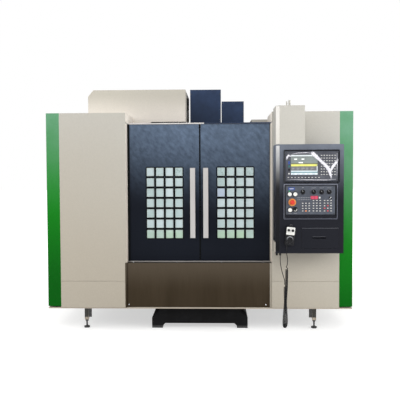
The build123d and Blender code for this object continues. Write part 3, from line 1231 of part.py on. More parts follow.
def selector(x):
    return knob(x, SELECTOR_Z, POD_FRONT + RECESS_DEPTH - 2, SELECTOR_R, SELECTOR_HEIGHT,
                SELECTOR_GRIP, SELECTOR_STEM_R)


def key_switch():
    x, z = KEY_SWITCH_XZ
    return knob(x, z, POD_FRONT + RECESS_DEPTH - 2, KEY_SWITCH_R, KEY_SWITCH_HEIGHT, 3.0, SELECTOR_STEM_R)


def drawer():
    t = DRAWER_WALL
    y0 = POD_FRONT
    face = box(DRAWER_X0, DRAWER_X1, y0, y0 + POD_FACE, DRAWER_Z0, DRAWER_Z1)
    tub = box(DRAWER_X0 + 8, DRAWER_X1 - 8, y0 + POD_FACE, y0 + DRAWER_DEPTH, DRAWER_Z0, DRAWER_Z1 - 50)
    tub -= box(DRAWER_X0 + 8 + t, DRAWER_X1 - 8 - t, y0 + POD_FACE, y0 + DRAWER_DEPTH - t,
               DRAWER_Z0 + t, DRAWER_Z1)
    slot = box(DRAWER_SLOT_X0, DRAWER_SLOT_X1, y0 - 1, y0 + POD_FACE + 1,
               DRAWER_SLOT_Z - DRAWER_SLOT_HEIGHT, DRAWER_SLOT_Z)
    return face + tub - slot


# Hand pulse generator and its cord

def mpg_place(shape):
    # The handset is built upright about its own centre, then leans as it hangs on its hook.
    return Pos(MPG_X, 0, MPG_Z) * (Rot(0, MPG_TILT, 0) * shape)


def mpg_handset():
    w, h = MPG_WIDTH / 2, MPG_HEIGHT / 2
    y0 = MPG_FRONT
    body = box(-w, w, y0, POD_FRONT, -h, h)
    body = chamfer(body.edges().filter_by(Axis.Y), 9)
    plate = box(-w + 3, w - 3, y0 - MPG_PLATE_DEPTH, y0, 10, h - 10)
    case = body + plate
    case += rod_y(0, y0 - MPG_PLATE_DEPTH, y0, MPG_DIAL_Z, MPG_DIAL_R)
    for x in (-MPG_KNOB_X, MPG_KNOB_X):
        case -= rod_y(x, y0 - 9, y0 + 12, MPG_KNOB_Z, MPG_AXLE_R + BUTTON_GAP)
    case -= rod_y(0, y0 - 9, y0 + 12, MPG_DIAL_Z, MPG_AXLE_R + BUTTON_GAP)
    hook = box(-7, 7, y0 + 8, POD_FRONT, h, h + 22) - box(-8, 8, y0 + 12, POD_FRONT - 4, h - 1, h + 18)
    return [mpg_place(case), mpg_place(hook)]


def mpg_knob(x):
    y0 = MPG_FRONT - MPG_PLATE_DEPTH
    cap = rod_y(x, y0 - MPG_KNOB_HEIGHT, y0 - 1, MPG_KNOB_Z, MPG_KNOB_R)
    return mpg_place(cap + rod_y(x, y0 - 1, y0 + 10, MPG_KNOB_Z, MPG_AXLE_R))


def mpg_dial():
    y0 = MPG_FRONT - MPG_PLATE_DEPTH
    wheel = rod_y(0, y0 - MPG_DIAL_HEIGHT + 4, y0 - 1, MPG_DIAL_Z, MPG_DIAL_R - 4)
    wheel += rod_y(0, y0 - 1, y0 + 10, MPG_DIAL_Z, MPG_AXLE_R)
    crank = rod_y(16, y0 - MPG_DIAL_HEIGHT, y0 - MPG_DIAL_HEIGHT + 4, MPG_DIAL_Z + 10, 6)
    return mpg_place(wheel + crank)


def turn_radii(points):
    # The largest arc that each corner's two runs allow: 0.45 of the shorter run.
    radii = []
    for a, b, c in zip(points, points[1:], points[2:]):
        u, v = Vector(*b) - Vector(*a), Vector(*c) - Vector(*b)
        half_turn = math.radians(u.get_angle(v)) / 2
        radii.append(0.45 * min(u.length, v.length) / math.tan(half_turn))
    return radii


def cord_tube(name, points, radius):
    # A round cord along straight runs joined by tangent arcs.
    radii = turn_radii(points)
    path = FilletPolyline(*points, radius=radii)
    profile = Plane(origin=path @ 0, z_dir=path % 0) * Circle(radius)
    body = sweep(profile, path=path)
    exact = math.pi * radius ** 2 * path.length
    print(name, "length", round(path.length), "radii", [round(r) for r in radii],
          "volume ratio", round(body.volume / exact, 4))
    return body


MPG_EXIT = Vector(MPG_OUTLET_X, 0, -MPG_HEIGHT / 2).rotate(Axis.Y, MPG_TILT)
MPG_DOWN = Vector(0, 0, -1).rotate(Axis.Y, MPG_TILT)
LEAD_TOP = Vector(MPG_X + MPG_EXIT.X, (MPG_FRONT + POD_FRONT) / 2, MPG_Z + MPG_EXIT.Z)
COIL_TOP = (735.0, -290.0, 609.0)
COIL_END = (728.0, -240.0, 450.0)


def mpg_lead():
    first = LEAD_TOP + MPG_DOWN * 30
    route = [tuple(LEAD_TOP), tuple(first), (735, -282, 738), (741, -287, 700), (747, -290, 660),
             (COIL_TOP[0], COIL_TOP[1], 634), COIL_TOP]
    return cord_tube("mpg_lead", route, CORD_R)


def mpg_coil():
    route = [COIL_TOP, (COIL_TOP[0], COIL_TOP[1], 540), (734, -292, 440), (728, -290, 320), (723, -289, 215),
             (721, -289, 162), (721, -289.5, COIL_LOW), (730, -241, COIL_LOW), (732, -240, 165),
             (731, -239, 240), (730.5, -240.5, 320), (COIL_END[0], COIL_END[1], 395), COIL_END]
    return cord_tube("mpg_coil", route, COIL_R)


def return_lead():
    x, y = GLAND_XY[1]
    foot = POD_BOTTOM - GLAND_LENGTH
    route = [COIL_END, (COIL_END[0], COIL_END[1], 478), (717, -232, 518), (706, -208, 560), (699, -174, 606),
             (x, y, 655), (x, y, foot)]
    return cord_tube("return_lead", route, CORD_R)


def cable_fittings():
    # Two cord glands under the console, and the terminal box on the magazine cover's side.
    parts = []
    for x, y in GLAND_XY:
        gland = rod_z(x, y, POD_BOTTOM - GLAND_LENGTH, POD_BOTTOM + POD_WALL + 6, GLAND_R)
        gland += extrude(Plane(origin=(x, y, POD_BOTTOM - 14)) * RegularPolygon(GLAND_NUT_R, 6), 14)
        parts.append(gland)
    terminal = box(MAG_X1, MAG_X1 + TERMINAL_PROUD, TERMINAL_Y0, TERMINAL_Y1, TERMINAL_Z0, TERMINAL_Z1)
    y = (TERMINAL_Y0 + TERMINAL_Y1) / 2
    terminal += rod_z(MAG_X1 + TERMINAL_PROUD / 2, y, TERMINAL_Z0 - TERMINAL_GLAND_DROP, TERMINAL_Z0,
                      TERMINAL_GLAND_R)
    return parts + [terminal]


def lamp_stub():
    # What is left of a signal lamp's stand on the roof of the console's duct.
    y, z = GLAND_Y, POD_BOX_TOP
    foot = box(STUB_THIN_X - STUB_THIN_R, STUB_THICK_X + STUB_FOOT, y - STUB_FOOT, y + STUB_FOOT,
               z, z + STUB_FOOT_HEIGHT)
    foot += rod_z(STUB_THIN_X, y, z, z + STUB_THIN_HEIGHT, STUB_THIN_R)
    return foot + rod_z(STUB_THICK_X, y, z, z + STUB_THICK_HEIGHT, STUB_THICK_R)


def port_cover():
    # The cover over the ports on the console's left side.
    return box(POD_X0 - PORT_PROUD, POD_X0, PORT_Y0, PORT_Y1, PORT_Z0, PORT_Z1)


# Rear equipment

def electrical_cabinet():
    t = CABINET_WALL
    y1 = CABINET_Y0 + CABINET_DEPTH - CABINET_DOOR
    body = box(CABINET_X0, CABINET_X1, CABINET_Y0, y1, CABINET_Z0, CABINET_Z1)
    body -= box(CABINET_X0 + t, CABINET_X1 - t, CABINET_Y0 + t, y1 + 1, CABINET_Z0 + t, CABINET_Z1 - t)
    body += box(CABINET_X0 + 40, CABINET_X1 - 40, CABINET_Y0 + t, CABINET_Y0 + 12, CABINET_Z0 + 60,
                CABINET_Z1 - 60)
    for i in range(DEVICE_ROWS):
        z = CABINET_Z0 + DEVICE_FIRST + i * DEVICE_PITCH
        body += box(CABINET_X0 + 120, CABINET_X1 - 120, CABINET_Y0 + 12, CABINET_Y0 + 12 + DEVICE_DEPTH,
                    z, z + DEVICE_HEIGHT)
    half = CABINET_BRACKET / 2
    for z in CABINET_BRACKET_ZS:
        for x in (-CABINET_BRACKET_X, CABINET_BRACKET_X):
            body += box(x - half, x + half, BASE_REAR, CABINET_Y0, z, z + CABINET_BRACKET)
    # Hinge pins for the door, each between two ears on the side wall.
    x, y = CABINET_HINGE
    for z in cabinet_hinge_heights():
        body += rod_z(x, y, z - CABINET_EAR, z + CABINET_EAR, CABINET_PIN_R)
        half = CABINET_EAR_HEIGHT / 2
        for side in (-1, 1):
            middle = z + side * (CABINET_EAR - half)
            ear = box(x - CABINET_PIN_R - 1, x + CABINET_PIN_R, y1 - 40, y + CABINET_PIN_R,
                      middle - half, middle + half)
            body += ear + box(CABINET_X1 - 2, x, y1 - 40, y1 - 4, middle - half, middle + half)
    return body


def cabinet_hinge_heights():
    return (CABINET_Z0 + 160, (CABINET_Z0 + CABINET_Z1) / 2, CABINET_Z1 - 160)


def cabinet_door():
    y1 = CABINET_Y0 + CABINET_DEPTH
    y0 = y1 - CABINET_DOOR + 1
    leaf = box(CABINET_X0 + 2, CABINET_X1 - 2, y0, y1, CABINET_Z0 + 2, CABINET_Z1 - 2)
    leaf -= box(CABINET_X0 + 6, CABINET_X1 - 6, y0 - 1, y1 - SKIN, CABINET_Z0 + 6, CABINET_Z1 - 6)
    leaf -= rod_y(SWITCH_XZ[0], y0, y1 + 1, SWITCH_XZ[1], SELECTOR_STEM_R + BUTTON_GAP)
    x, y = CABINET_HINGE
    for z in cabinet_hinge_heights():
        leaf += rod_z(x, y, z - CABINET_KNUCKLE, z + CABINET_KNUCKLE, CABINET_HINGE_R)
        leaf += box(CABINET_X1 - 4, x, y + 2, y + 6, z - CABINET_KNUCKLE, z + CABINET_KNUCKLE)
        leaf -= rod_z(x, y, z - CABINET_KNUCKLE - 1, z + CABINET_KNUCKLE + 1, CABINET_PIN_R + PIN_GAP)
    return leaf


def main_switch():
    x, z = SWITCH_XZ
    y1 = CABINET_Y0 + CABINET_DEPTH
    dial = rod_y(x, y1 + 1, y1 + 9, z, SWITCH_R)
    dial += box(x - 7, x + 7, y1 + 9, y1 + SWITCH_HEIGHT, z - SWITCH_R * 0.9, z + SWITCH_R * 0.9)
    return dial + rod_y(x, y1 - SKIN, y1 + 1, z, SELECTOR_STEM_R)


def coolant_tank():
    t = SKIN
    tank = box(TANK_X0, TANK_X1, TANK_Y0, TANK_Y1, TANK_Z0, TANK_Z1)
    tank -= box(TANK_X0 + t, TANK_X1 - t, TANK_Y0 + t, TANK_Y1 - t, TANK_Z0 + t, TANK_Z1 - t)
    parts = [tank]
    for x in (TANK_X0 + 60, TANK_X1 - 60):
        for y in (TANK_Y0 + 50, TANK_Y1 - 50):
            parts.append(rod_z(x, y, 0, TANK_Z0, 28))
    y = (TANK_Y0 + TANK_Y1) / 2
    pump = rod_z(PUMP_X, y, TANK_Z1 + 12, TANK_Z1 + PUMP_HEIGHT, PUMP_R)
    pump += rod_z(PUMP_X, y, TANK_Z1, TANK_Z1 + 12, PUMP_R + 25)
    parts.append(pump)
    x = PUMP_X + PUMP_R + 40
    pipe = rod_z(x, y, TANK_Z1, TANK_Z1 + PIPE_RISE, PIPE_R)
    parts.append(pipe + rod_y(x, GUARD_REAR, y, TANK_Z1 + PIPE_RISE, PIPE_R))
    return parts


def main():
    os.makedirs("parts", exist_ok=True)
    save("front_panel_left", *front_panel(-1))
    save("front_panel_right", *front_panel(1))
    save("corner_trims", *corner_trims())
    right_side = side_panel()
    save("guard_panels", right_side, mirror_x(right_side), *roof_parts(), *rear_panels(),
         *sill(), *guard_legs())
    save("levelling_feet", *levelling_feet())
    save("front_apron", apron())
    save("door_tracks", *door_tracks())
    leaf, sheet, grip = door(), window_sheet(), door_handle()
    split, grips = Pos(DOOR_SHIFT, 0, 0), Pos(HANDLE_SHIFT, 0, 0)
    save("door_right", split * leaf)
    save("door_left", split * mirror_x(leaf))
    save("window_right", split * sheet)
    save("window_left", split * mirror_x(sheet))
    save("handle_right", grips * grip)
    save("handle_left", grips * mirror_x(grip))
    save("chamber_liner", *chamber_liner(), *way_covers_fixed())
    save("base_casting", base_casting())
    save("guide_rails", *guide_rails())
    save("column", column())
    save("axis_motors", *axis_motors())
    save("saddle", *saddle(), *saddle_covers())
    save("table", *table())
    save("x_way_covers", *x_way_covers())
    save("y_way_cover_a", y_way_hood(1, y_way_start(1), Y_WAY_LENGTH))
    save("y_way_cover_b", y_way_hood(2, y_way_start(2), Y_WAY_LENGTH))
    save("z_way_cover", z_way_hood(1, Z_WAY_MID_Z, Z_WAY_MID))
    save("head", *head())
    save("spindle", spindle())
    save("head_covers", *head_covers())
    save("magazine_cover", magazine_cover())
    save("magazine_frame", *magazine_frame())
    save("magazine_disc", *magazine_disc())
    save("arm_shaft", arm_shaft())
    save("change_arm", change_arm())
    save("pod_box", pod_box(), lamp_stub(), port_cover())
    save("pod_bezel", pod_bezel())
    save("screen_unit", screen_unit())
    save("machine_panel", machine_panel(), stop_ring())
    save("membrane_keys", *membrane_keys())
    for name, (x, z) in BUTTONS.items():
        save(name, push_button(x, z))
    save("stop_button", stop_button())
    for name, x in SELECTORS.items():
        save(name, selector(x))
    save("key_switch", key_switch())
    save("drawer", drawer())
    save("mpg_handset", *mpg_handset())
    save("mpg_axis_knob", mpg_knob(-MPG_KNOB_X))
    save("mpg_step_knob", mpg_knob(MPG_KNOB_X))
    save("mpg_dial", mpg_dial())
    save("mpg_lead", mpg_lead())
    save("mpg_coil", mpg_coil())
    save("return_lead", return_lead())
    save("cable_fittings", *cable_fittings())
    save("electrical_cabinet", electrical_cabinet())
    save("cabinet_door", cabinet_door())
    save("main_switch", main_switch())
    save("coolant_tank", *coolant_tank())


main()
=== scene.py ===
import json
import math
import bmesh
import bpy
from mathutils import Matrix, Vector


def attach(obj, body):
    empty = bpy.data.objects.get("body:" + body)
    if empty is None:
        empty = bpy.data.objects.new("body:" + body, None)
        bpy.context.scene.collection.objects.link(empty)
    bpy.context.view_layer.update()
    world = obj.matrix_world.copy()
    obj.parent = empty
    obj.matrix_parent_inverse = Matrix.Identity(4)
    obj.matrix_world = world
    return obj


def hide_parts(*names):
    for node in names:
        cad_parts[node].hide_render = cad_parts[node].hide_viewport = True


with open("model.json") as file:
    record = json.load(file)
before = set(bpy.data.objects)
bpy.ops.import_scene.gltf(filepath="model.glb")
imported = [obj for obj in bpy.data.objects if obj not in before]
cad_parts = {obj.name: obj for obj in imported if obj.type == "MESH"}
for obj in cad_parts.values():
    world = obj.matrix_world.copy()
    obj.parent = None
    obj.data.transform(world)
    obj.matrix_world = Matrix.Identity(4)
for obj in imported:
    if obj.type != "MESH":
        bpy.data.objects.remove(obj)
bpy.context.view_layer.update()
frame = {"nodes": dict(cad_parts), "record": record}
nodes = frame["nodes"]

# Lengths are in millimetres, as in the part, with depth counted from the front panels.
SHIFT_Y = -940.0
PANEL_FACE = -259.0
CONSOLE_FACE = -260.0
BODY = "machine"
IN_PLACE = Matrix.Identity(4)
# The doors, and the panes of each: the groups' middles, the step from pane to pane and how many there are.
DOOR_FACE = 110
DOOR_MIDDLE = 1227
DOOR_SPLIT = 8.0
JAMB = 640
PANES_LEFT, PANES_RIGHT, PANES_MIDDLE = -308.0, 324.0, 1136.0
PANE_STEP_X, PANE_STEP_Z = 85.0, 92.8
PANE_COLUMNS, PANE_ROWS = 4, 7
# The guard's roof, its side and rear sheets, the cabinet's device rows and the coolant tank's top.
ROOF = 1932
SERVICE_PANEL = 1333
REAR_SHEET = 1540
DEVICE_ROWS = (725, 1055, 1385, 1715)
TANK_TOP = 380
TANK_Y = 2025


# Placing

def at(x, y, z):
    return Vector((x, y + SHIFT_Y, z)) / 1000.0


def facing(origin, right=(1, 0, 0), up=(0, 0, 1)):
    # Local X to the right, local Y up and local Z out of the surface, in millimetres.
    right, up = Vector(right).normalized(), Vector(up).normalized()
    turn = Matrix((right, up, right.cross(up))).transposed().to_4x4()
    return Matrix.Translation(origin) @ turn @ Matrix.Scale(0.001, 4)


def turn_by(degrees, axis="Z"):
    return Matrix.Rotation(math.radians(degrees), 4, axis)


def on_front(x, y, z, turn=0.0):
    # On a surface that faces the operator, turned about its own axis.
    return facing(at(x, y, z)) @ turn_by(turn)


def on_panel(x=0, z=0, turn=0.0):
    return on_front(x, PANEL_FACE, z, turn)


def on_right(x, y, z):
    return facing(at(x, y, z), (0, 1, 0))


def on_left(x, y, z):
    return facing(at(x, y, z), (0, -1, 0))


def on_rear(x, y, z):
    return facing(at(x, y, z), (-1, 0, 0))


def on_top(x, y, z):
    return facing(at(x, y, z), up=(0, 1, 0))


def moved(x=0.0, y=0.0, z=0.0):
    return Matrix.Translation((x, y, z))


# Mesh shapes, all in millimetres

def mesh_of(verts, faces, smooth=False):
    mesh = bpy.data.meshes.new("shape")
    mesh.from_pydata([tuple(v) for v in verts], [], faces)
    work = bmesh.new()
    work.from_mesh(mesh)
    bmesh.ops.remove_doubles(work, verts=work.verts, dist=1e-5)
    bmesh.ops.recalc_face_normals(work, faces=work.faces)
    for face in work.faces:
        face.smooth = smooth
    work.to_mesh(mesh)
    work.free()
    return mesh


def skin(rings, smooth=False, closed=False):
    # Loops of equal length, each joined to the next: capped at both ends, or the last joined to the first.
    n, count = len(rings[0]), len(rings)
    faces = []
    for i in range(count if closed else count - 1):
        above = (i + 1) % count
        for j in range(n):
            k = (j + 1) % n
            faces.append((i * n + j, i * n + k, above * n + k, above * n + j))
    if not closed:
        faces += [tuple(range(n - 1, -1, -1)), tuple(range((count - 1) * n, count * n))]
    return mesh_of([point for ring in rings for point in ring], faces, smooth)


def circle(sides):
    angles = [2 * math.pi * i / sides for i in range(sides)]
    return [(math.cos(a), math.sin(a)) for a in angles]


def turned(profile, sides=40, smooth=False):
    # A profile of radius and height turned about the local Z axis.
    return skin([[(r * x, r * y, z) for x, y in circle(sides)] for r, z in profile], smooth)


def hollow_ring(inner, outer, low, high, sides=40):
    # A flat ring with its upper edges eased.
    ease = min(0.8, (high - low) / 2, (outer - inner) / 4)
    section = [(inner, low), (outer, low), (outer, high - ease), (outer - ease, high), (inner + ease, high),
               (inner, high - ease)]
    return skin([[(r * x, r * y, z) for r, z in section] for x, y in circle(sides)], closed=True)


def round_outline(width, height, corner, inset=0.0, steps=5):
    # A rectangle with round corners, and the outward direction at each of its points.
    points = []
    r = max(corner - inset, 0.05)
    for cx, cy, start in ((1, 1, 0), (-1, 1, 90), (-1, -1, 180), (1, -1, 270)):
        middle = Vector((cx * (width / 2 - corner), cy * (height / 2 - corner), 0))
        for i in range(steps + 1):
            a = math.radians(start + 90 * i / steps)
            out = Vector((math.cos(a), math.sin(a), 0))
            points.append((middle + out * r, out))
    return points


def slab(width, height, corner, levels, steps=5):
    # A rounded plate; each level is how far its outline is drawn in, and its height.
    return skin([[(p.x, p.y, z) for p, _ in round_outline(width, height, corner, inset, steps)]
                 for inset, z in levels])


def plate(width, height, corner, low, side, ease, top, steps=2):
    # A slab whose edge stands straight from low to side and is eased from there to its top.
    return slab(width, height, corner, [(0, low), (0, side), (ease, top)], steps)


def bar(width, height, corner, low, top, inset=0, steps=2):
    # A slab from low to top, drawn in at its top.
    return slab(width, height, corner, [(0, low), (inset, top)], steps)


def trim_frame(width, height, corner, section, steps=6):
    # A closed frame: a section of offset and height carried round a rounded rectangle.
    return skin([[(p.x + out.x * offset, p.y + out.y * offset, z) for offset, z in section]
                 for p, out in round_outline(width, height, corner, 0, steps)], closed=True)


def joined(*parts):
    # Shapes in one mesh, each as it is or with its own place.
    work = bmesh.new()
    for part in parts:
        mesh, place = part if isinstance(part, tuple) else (part, IN_PLACE)
        copy = mesh.copy()
        copy.transform(place)
        work.from_mesh(copy)
        bpy.data.meshes.remove(copy)
    whole = bpy.data.meshes.new("shape")
    work.to_mesh(whole)
    work.free()
    return whole


def repeated(shape, spots):
    return joined(*[(shape, moved(*spot)) for spot in spots])


def new_object(name, data):
    made = bpy.data.objects.new(name, data)
    bpy.context.scene.collection.objects.link(made)
    return made


# Every finish by its name
LOOKS = {}


def piece(name, mesh, place, look, body=BODY, replaces=None):
    mesh = mesh.copy()
    mesh.transform(place)
    mesh.name = name
    obj = new_object(name, mesh)
    mesh.materials.clear()
    mesh.materials.append(LOOKS[look])
    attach(obj, body)
    if replaces:
        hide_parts(replaces)


# Node trees

class Flow:
    # What a node puts out. Its other outputs are had by name, and sums with it add Math nodes to its tree.
    def __init__(self, node, output=0):
        self.node = node
        self.output = output
        self.tree = node.id_data

    def __getitem__(self, output):
        return Flow(self.node, output)

    def __add__(self, other):
        return calc("ADD", self, other)

    def __sub__(self, other):
        return calc("SUBTRACT", self, other)

    def __rsub__(self, other):
        return calc("SUBTRACT", other, self)

    def __mul__(self, other):
        return calc("MULTIPLY", self, other)

    def __truediv__(self, other):
        return calc("DIVIDE", self, other)


def feed(node, inputs):
    # Each input gets a flow or a value; colours are given as a screen shows them, from 0 to 255.
    for name, value in inputs.items():
        socket = node.inputs[name]
        if isinstance(value, Flow):
            node.id_data.links.new(value.node.outputs[value.output], socket)
        else:
            socket.default_value = srgb(*value) if socket.type == "RGBA" else value


def put(kind, inputs=None, tree=None, **settings):
    # A node in the tree of its first flow, or in the tree that is named.
    inputs = inputs or {}
    flows = [value for value in inputs.values() if isinstance(value, Flow)]
    made = (tree or flows[0].tree).nodes.new(kind)
    for name, value in settings.items():
        setattr(made, name, value)
    feed(made, inputs)
    return Flow(made)


def calc(operation, a, b=0.0, *more):
    return put("ShaderNodeMath", dict(enumerate((a, b, *more))), operation=operation)


def capped(flow):
    flow.node.use_clamp = True
    return flow


def vector(**parts):
    return put("ShaderNodeCombineXYZ", parts)


def stretched(place, by):
    return put("ShaderNodeVectorMath", {0: place, 1: by}, operation="MULTIPLY")


def new_tree(name, kind, inputs, outputs):
    # A node group. Each input has the word for its kind, or a number, vector or colour to start from.
    tree = bpy.data.node_groups.new(name, kind)
    kinds = {float: "Float", int: "Int", tuple: "Vector"}
    for side, sockets in (("INPUT", inputs), ("OUTPUT", outputs)):
        for label, value in sockets.items():
            word = value if isinstance(value, str) else kinds[type(value)]
            if value == GREY:
                word = "Color"
            made = tree.interface.new_socket(name=label, in_out=side, socket_type="NodeSocket" + word)
            if word != value:
                made.default_value = value
    return put("NodeGroupInput", tree=tree)


# Trees that repeat a shape

def shape_tree(name, **inputs):
    shape = {"Geometry": "Geometry"}
    return new_tree(name, "GeometryNodeTree", {**shape, **inputs, "Material": "Material"}, shape)


def named_shape(given):
    return put("GeometryNodeObjectInfo", {"Object": given["Shape"]})["Geometry"]


def copies(given, points, shape, turn=(0.0, 0.0, 0.0), size=(1.0, 1.0, 1.0)):
    # A shape on each point, turned and sized, made real and given its finish.
    spread = put("GeometryNodeInstanceOnPoints", {"Points": points, "Instance": shape, "Scale": size,
                                                  "Rotation": turn})
    real = put("GeometryNodeRealizeInstances", {0: spread})
    dressed = put("GeometryNodeSetMaterial", {"Geometry": real, "Material": given["Material"]})
    return put("NodeGroupOutput", {0: dressed}).tree


def places_tree():
    # One shape on every point, turned as the point says.
    given = shape_tree("repeat at places", Shape="Object", Size=1.0)
    turn = put("GeometryNodeInputNamedAttribute", {"Name": "turn"}, given.tree, data_type="FLOAT_VECTOR")
    rotation = put("FunctionNodeEulerToRotation", {0: turn})
    return copies(given, given["Geometry"], named_shape(given), rotation, given["Size"])


def field_tree():
    # One shape in even columns and rows.
    given = shape_tree("even field", Shape="Object", Columns=1, Rows=1, Width=1.0, Height=1.0)
    grid = put("GeometryNodeMeshGrid", {"Size X": given["Width"], "Size Y": given["Height"],
                                        "Vertices X": given["Columns"], "Vertices Y": given["Rows"]})
    return copies(given, grid, named_shape(given))


def marks_tree():
    # Marks round a dial, every so many of them longer.
    given = shape_tree("dial marks", Count=1, Radius=1.0, Start=0.0, Sweep=1.0, Length=1.0, Width=1.0,
                       Every=1)
    index = put("GeometryNodeInputIndex", tree=given.tree)
    angle = index / (given["Count"] - 1.0) * given["Sweep"] + given["Start"]
    spot = vector(X=calc("COSINE", angle) * given["Radius"], Y=calc("SINE", angle) * given["Radius"])
    points = put("GeometryNodePoints", {"Count": given["Count"]})
    points = put("GeometryNodeSetPosition", {"Geometry": points, "Position": spot})
    size = vector(X=given["Length"], Y=given["Width"], Z=0.4)
    is_long = calc("LESS_THAN", calc("MODULO", index, given["Every"]), 0.5)
    mark = put("GeometryNodeMeshCube", {"Size": size})
    rotation = put("FunctionNodeEulerToRotation", {0: vector(Z=angle)})
    return copies(given, points, mark, rotation, vector(X=is_long * 0.8 + 1.0, Y=1.0, Z=1.0))


def grown(tree, look, values, places=()):
    # The plain mesh that a tree makes from its values, and from places where it needs them.
    mesh = bpy.data.meshes.new("grown")
    mesh.from_pydata([tuple(place.to_translation()) for place in places], [], [])
    turn = mesh.attributes.new("turn", "FLOAT_VECTOR", "POINT")
    for i, place in enumerate(places):
        turn.data[i].vector = place.to_3x3().normalized().to_euler()
    helpers = [new_object("grown", mesh)]
    modifier = helpers[0].modifiers.new("grow", "NODES")
    modifier.node_group = tree
    values = {**values, "Material": LOOKS[look]}
    for item in tree.interface.items_tree:
        if item.name in values:
            value = values[item.name]
            if isinstance(value, bpy.types.Mesh):
                value = new_object("shape", value)
                helpers.append(value)
            modifier[item.identifier] = value
    depsgraph = bpy.context.evaluated_depsgraph_get()
    made = bpy.data.meshes.new_from_object(helpers[0].evaluated_get(depsgraph), depsgraph=depsgraph)
    for helper in helpers:
        bpy.data.objects.remove(helper)
    return made


def fixed_at(name, shape, places, look, size=1.0, body=BODY):
    # Copies of a shape at their places, as one piece.
    made = grown(PLACES, look, {"Shape": shape, "Size": size / 1000.0}, places)
    piece(name, made, IN_PLACE, look, body)


def even_field(look, shape, columns, rows, step_x, step_y):
    return grown(FIELD, look, {"Shape": shape, "Columns": columns, "Rows": rows,
                               "Width": (columns - 1) * step_x, "Height": (rows - 1) * step_y})


def dial_marks(look, count, radius, start, sweep, length, width, every):
    return grown(MARKS, look, {"Count": count, "Radius": radius, "Start": math.radians(start),
                               "Sweep": math.radians(sweep), "Length": length, "Width": width,
                               "Every": every})


# Colours and shader groups

def srgb(red, green, blue):
    linear = []
    for value in (red, green, blue):
        v = value / 255.0
        linear.append(v / 12.92 if v <= 0.04045 else ((v + 0.055) / 1.055) ** 2.4)
    return (*linear, 1.0)


def object_place(tree):
    return put("ShaderNodeTexCoord", tree=tree)["Object"]


def noise(place, scale, detail=3.0, roughness=0.55, distortion=0.0):
    return put("ShaderNodeTexNoise", {"Vector": place, "Scale": scale, "Detail": detail,
                                      "Roughness": roughness, "Distortion": distortion})


def remap(value, low, high, to_low=0.0, to_high=1.0, smooth=False):
    return put("ShaderNodeMapRange", {"Value": value, "From Min": low, "From Max": high, "To Min": to_low,
                                      "To Max": to_high},
               interpolation_type="SMOOTHSTEP" if smooth else "LINEAR")


def blended(share, first, second, way="MIX"):
    return put("ShaderNodeMix", {0: share, 6: first, 7: second}, data_type="RGBA", blend_type=way)[2]


def shaded(color, level):
    # A colour made darker or lighter by a level near 1.
    return blended(1.0, color, vector(X=level, Y=level, Z=level), "MULTIPLY")


# What a group's colours start from, and what the group of a finish puts out
GREY = (0.5, 0.5, 0.5, 1.0)
FINISH = {"Color": "Color", "Roughness": "Float", "Height": "Float"}


def powder_coat_group():
    # Sprayed paint: a painted sheen of light and reflection that grows from its foot height to its head
    # height, in clouds and slanting streaks, a fine orange peel, and another colour below the foot line,
    # sharp or fading.
    given = new_tree("powder coat", "ShaderNodeTree",
                     {"Color": GREY, "Sheen Color": GREY, "Sheen Foot": 0.8, "Sheen Head": 1.8,
                      "Haze Amount": 1.0, "Cloud Scale": 6.0, "Cloud Depth": 0.5, "Roughness": 0.4,
                      "Lean": 0.0, "Slant": 1.0, "Foot Line": -1.0, "Foot Fade": 0.0005,
                      "Foot Color": GREY}, FINISH)
    place = object_place(given.tree)
    apart = put("ShaderNodeSeparateXYZ", {0: place})
    # Lean tilts the height with x, so that the painted sheen makes one side lighter: painted light from that
    # side.
    height = apart["Z"] + apart["X"] * given["Lean"]
    rise = remap(height, given["Sheen Foot"], given["Sheen Head"], smooth=True)
    slanted = put("ShaderNodeVectorRotate", {"Vector": place, "Angle": 0.7}, rotation_type="Y_AXIS")
    streaked = stretched(slanted, vector(X=1.0, Y=1.0, Z=given["Slant"]))
    clouds = noise(streaked, given["Cloud Scale"], 8.0, 0.66)
    cloud = remap(clouds, 0.34, 0.68, 1.0 - given["Cloud Depth"], 1.0)
    foot = remap(height, given["Foot Line"], given["Foot Line"] + given["Foot Fade"], smooth=True)
    painted = blended(foot, given["Foot Color"], given["Color"])
    with_sheen = blended(capped(rise * cloud * given["Haze Amount"]), painted, given["Sheen Color"])
    grain = remap(noise(place, 70.0, 4.0, 0.7), 0.3, 0.7, 0.965, 1.035)
    return put("NodeGroupOutput", {"Color": shaded(with_sheen, grain),
                                   "Roughness": capped(given["Roughness"] + (clouds - 0.5) * 0.25),
                                   "Height": noise(place, 900.0, 2.0)}).tree


def edge_wear_and_highlight_group():
    # Where the surface turns a corner: a broken mask for wear and for a painted highlight along the edge, and
    # a normal that rounds the corner.
    given = new_tree("edge wear and highlight", "ShaderNodeTree", {"Radius": 0.002}, {"Mask": "Float", "Normal": "Vector"})
    tree = given.tree
    bevel = put("ShaderNodeBevel", {"Radius": given["Radius"]}, samples=4)
    flat = put("ShaderNodeNewGeometry", tree=tree)["Normal"]
    along = put("ShaderNodeVectorMath", {0: bevel, 1: flat}, operation="DOT_PRODUCT")["Value"]
    broken = remap(noise(object_place(tree), 38.0, 5.0, 0.7), 0.35, 0.6)
    return put("NodeGroupOutput", {"Mask": capped(remap(along, 0.995, 0.88) * broken),
                                   "Normal": bevel}).tree


